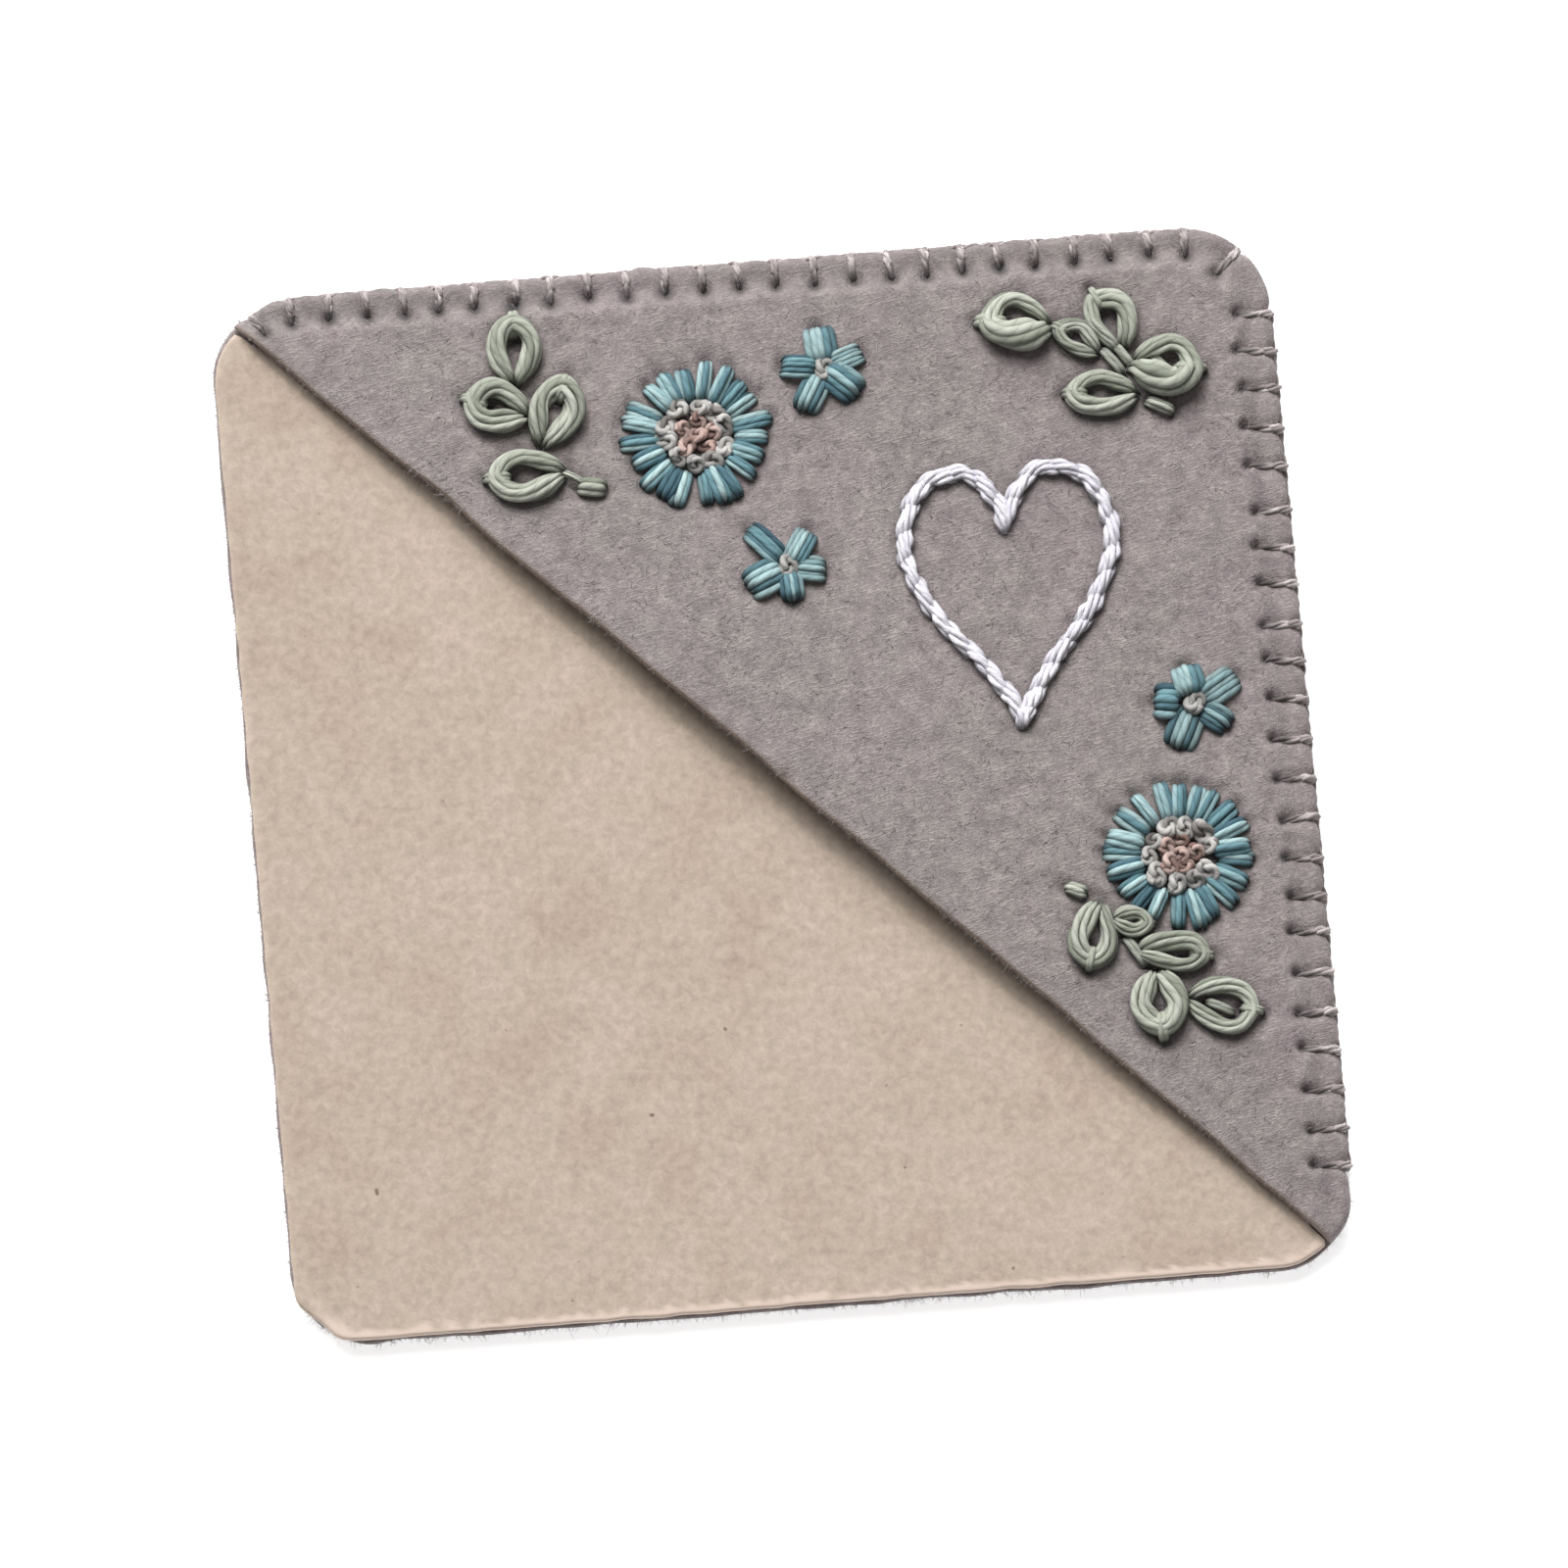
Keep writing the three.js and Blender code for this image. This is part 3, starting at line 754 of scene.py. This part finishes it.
def heart(x, y, width, height):
    """A heart outline in stem stitch: short stitches, each starting beside the last."""

    def half(side):
        """One half of the outline, from the cleft down to the point."""
        t = np.array([0.45, 0.8, 1.2, 1.6, 2.0, 2.4, 2.8, 3.1])
        up = 13 * np.cos(t) - 5 * np.cos(2 * t) - 2 * np.cos(3 * t) - np.cos(4 * t)
        across = side * width / 2 * np.sin(t) ** 3
        knots = np.column_stack([x + across, y + height * up / 29])
        cleft = [x - side * 0.1, knots[0][1] - 0.12 * height]
        return curve([cleft, *knots], 240)

    pitch = 2.2
    length = 3.3
    steps = 16
    thread = Thread()
    for side in (1, -1):
        path = half(side)
        travel = travelled(path)
        start = 0.0
        while start < travel[-1] - 1.2:
            end = min(start + length, travel[-1])
            at = np.linspace(start, end, steps)
            xy = np.column_stack([np.interp(at, travel, path[:, i]) for i in (0, 1)])
            way = unit(np.gradient(xy, axis=0))
            t = np.linspace(0, 1, steps)
            drift = 0.3 * (1 - 2 * t)
            xy = xy + drift[:, None] * np.column_stack([-way[:, 1], way[:, 0]])
            arch = np.sin(math.pi * t) ** 0.5
            plump = 0.5 + 0.5 * arch
            route = on_felt(xy, 0.85 * arch - 0.4)
            thread.bundle(route, 5, 0.38 * plump, 0.25 * plump, turns_per_mm=0.16, flat=0.9)
            thread.tube(route, 0.25 * plump)
            for point in xy[::3]:
                pit(*point, 0.25, 0.8)
            start += pitch
    ride_and_replace(thread.piece("heart_stem_stitch", WHITE), "heart_outline")


# Each leaf's base, tip, reach to its left and right, and its thread's thickness there.
LEAVES = {
    "sprig_left": [
        ((-18.4, 33.3), (-18.0, 39.1), (2.2, 2.35), (1.7, 1.75)),
        ((-17.5, 30.6), (-22.5, 32.5), (2.2, 2.35), (1.6, 1.75)),
        ((-16.7, 28.2), (-14.1, 33.6), (2.2, 2.3), (1.7, 1.75)),
        ((-14.9, 25.8), (-21.3, 25.8), (2.2, 2.25), (1.65, 1.6)),
    ],
    "sprig_upper": [
        ((24.5, 34.7), (18.8, 35.6), (2.3, 2.8), (2.4, 1.35)),
        ((28.2, 32.3), (24.8, 34.8), (1.4, 1.6), (1.15, 1.15)),
        ((30.0, 32.4), (28.0, 37.4), (1.6, 2.6), (1.3, 1.8)),
        ((30.7, 31.4), (36.3, 30.4), (2.5, 2.7), (1.45, 2.4)),
        ((31.0, 28.7), (25.1, 29.2), (1.9, 2.0), (1.6, 1.4)),
    ],
    "sprig_lower": [
        ((24.3, -11.9), (22.8, -17.3), (1.9, 2.1), (1.4, 1.6)),
        ((25.1, -13.4), (28.3, -14.1), (1.3, 1.3), (1.1, 1.1)),
        ((26.7, -16.1), (32.7, -16.9), (1.9, 1.6), (1.6, 1.3)),
        ((28.2, -17.8), (28.3, -23.3), (2.3, 2.3), (1.9, 1.6)),
        ((30.3, -20.1), (36.2, -21.7), (2.35, 2.45), (1.4, 1.4)),
    ],
}

# Short stitches between some leaves: start, end and width.
FILLS = {
    ("sprig_upper", 3): [((28.4, 32.6), (29.9, 30.6), 0.8), ((29.4, 33.0), (30.6, 31.2), 0.8)],
    ("sprig_upper", 4): [((32.3, 31.9), (33.6, 30.2), 0.9)],
    ("sprig_lower", 3): [((26.0, -14.9), (27.4, -17.2), 0.8)],
    ("sprig_lower", 5): [((32.0, -20.6), (34.0, -21.6), 0.8)],
}


def leaves():
    """The three sprigs' leaves, one piece each."""
    for sprig, stitches in LEAVES.items():
        for i, (base, tip, bulge, thick) in enumerate(stitches, 1):
            thread = Thread()
            leaf(thread, base, tip, bulge, thick)
            for start, end, width in FILLS.get((sprig, i), ()):
                satin(thread, start, end, width, 0.9, strands=2, ends=(0.7, 0.8))
            piece = thread.piece(f"{sprig}_daisy_{i}", SAGE, crown=1.2)
            ride_and_replace(piece, f"{sprig}_leaf_{i}")


def buds():
    """The small single stitches beside the sprigs."""
    left = [((-15.2, 25.9), (-13.6, 24.9), 0.6), ((-13.9, 24.6), (-12.0, 24.3), 1.5)]
    for name, node, stitches in (
        ("sprig_left_bud_stitch", "sprig_left_bud", left),
        ("sprig_lower_bud_stitch", "sprig_lower_bud", [((21.7, -10.6), (23.1, -11.2), 1.1)]),
        ("sprig_upper_tail", "sprig_upper_stem", [((31.6, 28.2), (33.6, 27.2), 1.0)]),
    ):
        thread = Thread()
        for start, end, width in stitches:
            satin(thread, start, end, width, 0.45 + 0.4 * width, strands=3, ends=(0.7, 0.6))
        ride_and_replace(thread.piece(name, SAGE), node)


def embroider():
    """The flowers, sprigs and heart at their places on the front panel."""
    rosette("rosette_left", -4.3, 28.1, 12)
    rosette("rosette_right", 30.9, -8.6, 4)
    for name, x, y, turn in (
        ("floret_upper", 6.3, 32.8, 93),
        ("floret_middle", 2.0, 16.9, 60),
        ("floret_right", 33.2, 3.5, 100),
    ):
        floret(name, x, y, turn)
    leaves()
    buds()
    heart(19.6, 15.0, 16.6, 21.0)


# ---- felt panels ----


def arc(cx, cy, from_deg, to_deg, radius=CORNER_RADIUS, steps=25):
    """Part of a rounded corner about its centre."""
    turn = np.radians(np.linspace(from_deg, to_deg, steps))
    return np.column_stack([cx + radius * np.cos(turn), cy + radius * np.sin(turn)])


def square_outline():
    """The back panel's whole rounded square, closed."""
    outline = np.concatenate([
        arc(ARC_CENTRE, -ARC_CENTRE, -90, 0),
        arc(ARC_CENTRE, ARC_CENTRE, 0, 90),
        arc(-ARC_CENTRE, ARC_CENTRE, 90, 180),
        arc(-ARC_CENTRE, -ARC_CENTRE, 180, 270),
    ])
    return np.concatenate([outline, outline[:1]])


def resample(points, stations):
    """Points at the given shares, 0 to 1, of a polyline's length."""
    travel = travelled(points)
    at = np.asarray(stations) * travel[-1]
    return np.column_stack([np.interp(at, travel, points[:, i]) for i in (0, 1)])


def graded(length, *zones, finest=0.06, growth=1.3):
    """Distances from 0 to length. Each zone is where it begins and the step it grows into."""
    at, gap = [0.0], finest
    while True:
        step = [size for begin, size in zones if at[-1] >= begin][-1]
        if at[-1] + gap > length - step / 2:
            return np.array(at)
        at.append(at[-1] + gap)
        gap = min(gap * growth, step)


def fan_sheet(outline, rings, closed):
    """A two-sided sheet made of copies of its outline, scaled to the origin.

    Returns one layer's plan points, and the faces for the lower layer followed by the upper.
    """
    n = len(outline)
    plan = np.concatenate([[[0, 0]]] + [outline * r for r in rings])
    layer = len(plan)
    outer = 1 + (len(rings) - 1) * n
    spans = n if closed else n - 1
    faces = []
    for j in range(spans):
        k = (j + 1) % n
        faces.append((0, 1 + k, 1 + j))
        faces.append((layer, layer + 1 + j, layer + 1 + k))
        for i in range(len(rings) - 1):
            a, b = 1 + i * n + j, 1 + (i + 1) * n + j
            d, c = 1 + i * n + k, 1 + (i + 1) * n + k
            faces.append((a, d, c, b))
            faces.append((layer + a, layer + b, layer + c, layer + d))
        a, b = outer + j, outer + k
        faces.append((a, b, layer + b, layer + a))
    if not closed:
        for first, way in ((1, 1), (n, -1)):
            rim = [0] + [first + i * n for i in range(len(rings))]
            for pair in zip(rim, rim[1:]):
                a, b = pair[::way]
                faces.append((a, b, layer + b, layer + a))
    return plan, faces


def two_layers(plan, low, high):
    """A sheet's points: its lower layer, followed by its upper one."""
    return np.concatenate([np.column_stack([plan, low]), np.column_stack([plan, high])])


def pulled(plan, distance):
    """Plan points with the felt's edges pulled and bulged by the thread and cut by hand."""
    x, y = plan.T
    fade = np.exp(-distance / 1.3)
    shift = fade * (stitched_part(x, y) * edge_pull(x, y) + 0.12 * waves(21, 3.0)(x, y))
    away = unit(np.sign(plan) * np.maximum(np.abs(plan) - ARC_CENTRE, 0))
    return plan + shift[:, None] * away


def front_felt():
    """The front panel: stitched down along two edges, bowed up and cut along the mouth."""
    outline = np.concatenate([
        arc(ARC_CENTRE, -ARC_CENTRE, -45, 0),
        arc(ARC_CENTRE, ARC_CENTRE, 0, 90),
        arc(-ARC_CENTRE, ARC_CENTRE, 90, 135),
    ])
    length = travelled(outline)[-1]
    half = graded(length / 2, (0, 0.32)) / length
    outline = resample(outline, np.concatenate([half, 1 - half[::-1]]))
    rings = 1 - graded(HALF - 0.4, (0, 0.24), (4.5, 0.6))[::-1] / HALF
    plan, faces = fan_sheet(outline, rings, closed=False)
    x, y = plan.T
    rim = square_distance(x, y)
    mouth = (x + y) * DIAGONAL

    # The face: lumpy wool, puffed along the seams and pressed by the thread.
    channels, holes = stitch_press(x, y)
    prick = needle_press(x, y)
    puff = 0.12 * smoothstep(rim, 0, 0.8) * (1 - smoothstep(rim, 2.0, 3.6))
    relief = 0.08 * LUMPS(x, y) + 0.035 * PILLS(x, y) + puff - channels - holes - prick
    cut = rounding(rim, 0.6, 0.55) + rounding(mouth, 0.35, 0.32)
    top = front_top(x, y) + relief - cut
    under = front_under(x, y) + 0.3 * cut

    # The mouth was cut by hand, so its edge wanders a little.
    wavy = 0.2 * waves(31, 5.0)(x, y) * np.exp(-mouth / 1.5)
    place = pulled(plan, rim) + (wavy * DIAGONAL)[:, None]

    # Painted shade: darker in the stitches' channels and holes, at the needle pits, and along the
    # seams, most along the top one.
    along_top = smoothstep(y - x, -2, 2)
    seam = (0.01 + 0.18 * along_top) * (1 - smoothstep(seam_distance(x, y), 1.8, 3.4))
    shade = np.clip(1 - seam - 0.4 * channels - 1.05 * holes - 1.1 * prick, 0, 1)
    shade = np.concatenate([np.ones(len(x)), shade])
    # Painted light bounced brownish from the card, along the mouth's cut edge.
    mouth_bounce_light = np.tile(0.7 * (1 - smoothstep(mouth, 0.05, 0.35)), 2)
    points = two_layers(place, under, top)
    piece = build("front_felt", points, faces, FELT_LOOK, shade=shade, cut=mouth_bounce_light)
    ride_and_replace(piece, "front_panel")
    return piece


def back_felt():
    """The back panel: flat, with the blanket thread's grooves pressed into its underside."""
    outline = resample(square_outline(), np.linspace(0, 1, 901)[:-1])
    rings = 1 - graded(HALF - 0.6, (0, 0.3), (4.0, 1.4))[::-1] / HALF
    plan, faces = fan_sheet(outline, rings, closed=True)
    x, y = plan.T
    rim = square_distance(x, y)
    press = sum(stitch_press(x, y)) * stitched_part(x, y)
    cut = rounding(rim, 0.5, 0.42)
    under = BACK_LOW[2] + 0.9 * np.minimum(press, 0.62) + cut + 0.02 * (1 + PILLS(x, y))
    top = BACK_HIGH[2] - 0.3 * cut + 0.015 * PILLS(x, y)
    points = two_layers(pulled(plan, rim), under, top)
    # Painted shade in the blanket thread's grooves and pits on the underside.
    shade = np.tile(np.clip(1 - 0.7 * press, 0, 1), 2)
    piece = build("back_felt", points, faces, FELT_LOOK, shade=shade, cut=np.zeros(len(points)))
    ride_and_replace(piece, "back_panel")
    return piece


def fibres(name, slot, roots, ways, lengths, droop):
    """Loose wool fibres: thin closed hairs that leave their roots along ways and bend down.

    Each has four rings of three points, and stays clear of the table.
    """
    n = len(roots)
    t = np.array([0, 0.35, 0.7, 1.0])
    bend = rng.normal(0, 0.35, (n, 3))
    bend[:, 2] -= droop
    path = (
        roots[:, None]
        + ways[:, None] * (lengths[:, None] * t)[..., None]
        + bend[:, None] * (lengths[:, None] * t**2)[..., None]
    )
    path[..., 2] = np.maximum(path[..., 2], 0.04)
    across = unit(np.cross(ways, rng.normal(0, 1, (n, 3))))
    up = np.cross(ways, across)
    turn = np.radians([90, 210, 330])
    ring = np.cos(turn)[:, None] * across[:, None] + np.sin(turn)[:, None] * up[:, None]
    radius = 0.022 * (1 - 0.55 * t)
    points = path[:, :, None] + radius[None, :, None, None] * ring[:, None]
    one = []
    for i in range(3):
        for j in range(3):
            k = (j + 1) % 3
            one.append((3 * i + j, 3 * i + k, 3 * i + 3 + k, 3 * i + 3 + j))
    one += [(2, 1, 0), (9, 10, 11)]
    faces = [tuple(12 * f + v for v in face) for f in range(n) for face in one]
    piece = build(name, points.reshape(-1, 3), faces, FUZZ_LOOK)
    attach(piece, "sleeve")


def edge_fuzz():
    """Fibres that stand out of the felt's outer edges."""
    count = 4200
    outline = square_outline()
    at = rng.uniform(0, 1, count)
    xy = resample(outline, at)
    ahead = resample(outline, (at + 0.0005) % 1)
    along = unit(ahead - xy)
    out = np.column_stack([along[:, 1], -along[:, 0]])
    stitched = (xy.sum(axis=1) > 0) & (rng.uniform(0, 1, count) < 0.6)
    z = rng.uniform(0.15, FELT - 0.15, count) + np.where(stitched, FELT + AIR, 0)
    roots = np.column_stack([xy - 0.1 * out, z])
    ways = unit(np.column_stack([out, np.zeros(count)]) + rng.normal(0, 0.6, (count, 3)))
    fibres("edge_fuzz", "felt_back", roots, ways, rng.uniform(0.2, 0.55, count), 0.0)


def mouth_fuzz():
    """Fibres that stand out of the cut along the mouth."""
    count = 2200
    at = rng.uniform(-1, 1, count) * (MOUTH_HALF - 1)
    xy = np.outer(at, [DIAGONAL, -DIAGONAL])
    z = front_under(*xy.T) + rng.uniform(0.1, FELT - 0.1, count)
    roots = np.column_stack([xy + 0.1, z])
    out = np.tile([-DIAGONAL, -DIAGONAL, 0], (count, 1))
    ways = unit(out + rng.normal(0, 0.6, (count, 3)))
    fibres("mouth_fuzz", "felt_front", roots, ways, rng.uniform(0.2, 0.55, count), 0.0)


def surface_fuzz():
    """Fibres that lie over the front panel's face."""
    count = 5000
    xy = rng.uniform(-HALF + 1, HALF - 1, (4 * count, 2))
    inside = (xy.sum(axis=1) > 0.5) & (square_distance(*xy.T) > 0.6)
    xy = xy[inside][:count]
    roots = np.column_stack([xy, front_top(*xy.T) + 0.02])
    turn = rng.uniform(0, 2 * math.pi, len(xy))
    rise = rng.uniform(0.1, 0.5, len(xy))
    ways = unit(np.column_stack([np.cos(turn), np.sin(turn), rise]))
    fibres("surface_fuzz", "felt_front", roots, ways, rng.uniform(0.35, 0.9, len(xy)), 0.35)


# ---- card ----


def card_outline():
    """The card's plan: cut to the back panel on its free edges, to the seam on the others."""
    snip = 3.4
    blunt = 0.8
    inner = 6.0
    mouth_gap = 0.2
    radius = CORNER_RADIUS - (HALF - CARD_FREE)
    inside = HALF - SEAM_FLAT - SEAM_RISE
    sweep = 45 - math.degrees(mouth_gap / radius)
    centre = inside - inner

    def eased(corner, before, after):
        """A snipped corner, a little blunted by wear."""
        start = corner + blunt * unit(before - corner)
        end = corner + blunt * unit(after - corner)
        t = np.linspace(0, 1, 6)[:, None]
        return (1 - t) ** 2 * start + 2 * t * (1 - t) * corner + t**2 * end

    left = np.array([-CARD_FREE, snip - CARD_FREE])
    low = np.array([snip - CARD_FREE, -CARD_FREE])
    return np.concatenate([
        eased(left, left + [0, 9], low),
        eased(low, left, low + [9, 0]),
        arc(ARC_CENTRE, -ARC_CENTRE, -90, sweep - 90, radius, 14),
        [[inside, -inside - mouth_gap]],
        arc(centre, centre, 0, 90, inner, 14),
        [[-inside - mouth_gap, inside]],
        arc(-ARC_CENTRE, ARC_CENTRE, 180 - sweep, 180, radius, 14),
    ])


def card():
    """The kraft card, its cut edge a little uneven and its free edges pale: rubbed by use, with a
    painted highlight along the bottom edge.
    """
    outline = card_outline()
    closed = np.concatenate([outline, outline[:1]])
    ring = resample(closed, np.arange(0, 1, 0.6 / travelled(closed)[-1]))
    rough = 0.06 * waves(41, 1.5)(*ring.T)
    ring = ring + (rough - corner_pull(*ring.T))[:, None] * unit(ring)
    inwards = graded(HALF - 0.6, (0, 0.25), (1.6, 2.4), finest=0.05, growth=1.35)
    rings = 1 - inwards[::-1] / HALF
    plan, faces = fan_sheet(ring, rings, closed=True)
    inset = np.concatenate([[HALF], np.repeat((1 - rings) * HALF, len(ring))])
    soft = rounding(inset, 0.22, 0.2)
    x, y = plan.T
    grain = 0.01 * waves(42, 9.0)(x, y)
    fray = 0.85 + 0.3 * waves(43, 0.9)(x, y)
    # The pale rim: faint all round, much stronger along the bottom edge, partly rubbed by use and
    # partly painted highlight.
    low_edge = smoothstep(-y, 30, 41) * (1 - smoothstep(np.abs(x), 39, 41))
    wear = smoothstep(fray - inset, 0, 0.5) * (0.1 + 0.75 * low_edge)
    points = two_layers(plan, CARD_LOW[2] + soft, CARD_HIGH[2] - soft + grain)
    piece = build("kraft_board", points, faces, KRAFT_LOOK, wear=np.tile(wear, 2))
    ride_and_replace(piece, "kraft_card", body="card")


# ---- blanket thread ----


def blanket_stitch(thread, stitch):
    """One stitch: out of its hole, over the front, round the edge and back underneath."""
    ex, ey, angle, inset = stitch
    out = heading(angle)
    hole = np.array([ex, ey]) - inset * out
    r = BLANKET_RADIUS
    edge = inset - corner_pull(ex, ey)
    sunk = 0.36

    def at(distance, z):
        """A point so far out from the hole, at height z."""
        return [*(hole + distance * out), z]

    def top_at(distance):
        """The height at which the thread lies in its groove there."""
        x, y = hole + min(distance, edge - 0.35) * out
        return front_top(x, y) - sunk + 0.5 * r

    knots = [at(0.1, top_at(0) - 1.1), at(0.3, top_at(0.2) - 0.5), at(0.62, top_at(0.6) - 0.1)]
    for share in (0.42, 0.62):
        knots.append(at(share * edge, top_at(share * edge) + 0.08))
    knots += [
        at(edge - 0.35, top_at(edge - 0.35) - 0.06),
        at(edge - 0.03, top_at(edge) - 0.4),
        at(edge + 0.06, 1.45),
        at(edge - 0.04, 0.6),
        at(edge - 0.35, r + 0.12),
        at(0.4, r + 0.12),
        at(0.0, 0.75),
    ]
    thread.bundle(curve(knots, 44), 3, r * 0.5, r * 0.6, turns_per_mm=0.16, flat=1.0)

    # The bead near the rim, where the thread crosses itself.
    back = 0.1 if on_side(stitch) else 0.5
    bead = []
    for distance, rise in ((-0.75, -0.16), (-0.35, 0.2), (0.05, 0.14), (0.35, -0.3)):
        near = edge - back + distance
        bead.append(at(near, top_at(near) + rise))
    thread.bundle(curve(bead, 14), 3, r * 0.5, r * 0.6, turns_per_mm=0.3, flat=0.8)


def purl(thread, stitches):
    """The thread that runs along the edge from each stitch to the next, between the panels."""
    level = 1.3
    r = BLANKET_RADIUS
    for one, two in zip(stitches, stitches[1:]):
        ends = []
        for ex, ey, angle, _ in (one, two):
            ends.append(np.array([ex, ey]) + (0.16 - corner_pull(ex, ey)) * heading(angle))
        middle = (ends[0] + ends[1]) / 2
        normal = unit(heading(one[2]) + heading(two[2]))
        gap = np.linalg.norm(ends[1] - ends[0])
        middle = middle + (0.12 * gap * abs(two[2] - one[2]) - 0.1) * normal
        knots = [[*ends[0], level], [*middle, level], [*ends[1], level]]
        thread.bundle(curve(knots, 16), 3, r * 0.45, r * 0.5, turns_per_mm=0.35, flat=1.0)


def blanket_threads():
    """The two blanket threads. The top one also takes in the closed corner's stitch."""
    top = sorted(filter(on_top, STITCHES), key=lambda s: s[0])
    corner = [s for s in STITCHES if not on_top(s) and not on_side(s)]
    side = sorted(filter(on_side, STITCHES), key=lambda s: -s[1])
    for name, stitches, node in (
        ("blanket_stitches_top", top + corner, "blanket_thread_top"),
        ("blanket_stitches_side", side, "blanket_thread_side"),
    ):
        thread = Thread()
        for stitch in stitches:
            blanket_stitch(thread, stitch)
        purl(thread, stitches)
        ride_and_replace(thread.piece(name, TAUPE), node)


# ---- camera, light and floor ----

VIEW_DISTANCE = 3300.0
VIEW_WIDTH = 124.23
VIEW_HEIGHT_DEG = 79.0
VIEW_TURN_DEG = 19.0  # the way the camera looks, from +Y towards +X
ROLL_DEG = 14.2
AIM = (0.31, 0.06, 1.3)


def camera():
    """A long lens that looks down on the object, turned and rolled as the view needs."""
    turn, height, roll = (math.radians(a) for a in (VIEW_TURN_DEG, VIEW_HEIGHT_DEG, ROLL_DEG))
    ahead = Vector((math.sin(turn), math.cos(turn), 0))
    back = -ahead * math.cos(height) + Vector((0, 0, math.sin(height)))
    level = Vector((math.cos(turn), -math.sin(turn), 0))
    upright = back.cross(level)
    right = math.cos(roll) * level + math.sin(roll) * upright
    up = math.cos(roll) * upright - math.sin(roll) * level
    data = bpy.data.cameras.new("camera")
    data.sensor_width = 36
    data.lens = 36 * VIEW_DISTANCE / VIEW_WIDTH
    data.clip_end = 20
    eye = add_object("camera", data)
    eye.location = (Vector(AIM) + back * VIEW_DISTANCE) * MM
    eye.rotation_euler = Matrix((right, up, back)).transposed().to_euler()
    bpy.context.scene.camera = eye


def lamp(name, azimuth, height, distance, size, power):
    """A square soft light aimed at the object. Azimuth 0 is +Y and 90 is +X."""
    a, h = math.radians(azimuth), math.radians(height)
    way = Vector((math.sin(a) * math.cos(h), math.cos(a) * math.cos(h), math.sin(h)))
    data = bpy.data.lights.new(name, "AREA")
    data.size = size * MM
    data.energy = power
    light = add_object(name, data)
    light.location = way * distance * MM
    light.rotation_euler = way.to_track_quat("Z", "Y").to_euler()


def lighting():
    """A broad key and a small spot from beyond the top edge, a weak fill, and a white backdrop."""
    lamp("key", -14, 44, 2500, 2000, 90.0)
    lamp("spot", -14, 44, 2500, 350, 14.0)
    lamp("fill", 165, 60, 2500, 1500, 4.0)
    world = bpy.data.worlds.new("studio")
    world.use_nodes = True
    light = world.node_tree.nodes["Background"]
    light.inputs["Color"].default_value = grey(1.0)
    light.inputs["Strength"].default_value = 0.11
    backdrop = world.node_tree.nodes.new("ShaderNodeBackground")
    backdrop.inputs["Color"].default_value = grey(1.0)
    path = world.node_tree.nodes.new("ShaderNodeLightPath")
    both = world.node_tree.nodes.new("ShaderNodeMixShader")
    links = world.node_tree.links
    links.new(path.outputs["Is Camera Ray"], both.inputs[0])
    links.new(light.outputs[0], both.inputs[1])
    links.new(backdrop.outputs[0], both.inputs[2])
    links.new(both.outputs[0], world.node_tree.nodes["World Output"].inputs["Surface"])
    bpy.context.scene.world = world
    bpy.context.scene.view_settings.view_transform = "Standard"


def table():
    """The pale table it lies on, lit a little from within so that it stays white."""
    look = Look("floor", 0.9)
    look.colour(look.ramp(look.noise(60, detail=1), [(0.3, grey(0.9)), (0.7, grey(0.92))]))
    look.feed(look.shader, {"Emission Color": grey(1.0), "Emission Strength": 0.68})
    mesh = bpy.data.meshes.new("floor")
    reach = 1.5
    corners = [(-reach, -reach, 0), (reach, -reach, 0), (reach, reach, 0), (-reach, reach, 0)]
    mesh.from_pydata(corners, [], [(0, 1, 2, 3)])
    mesh.materials.append(look.material)
    add_object("floor", mesh)


# ---- assembly ----

camera()
lighting()
table()
embroider()
front = front_felt()
back = back_felt()
card()
blanket_threads()
edge_fuzz()
mouth_fuzz()
surface_fuzz()
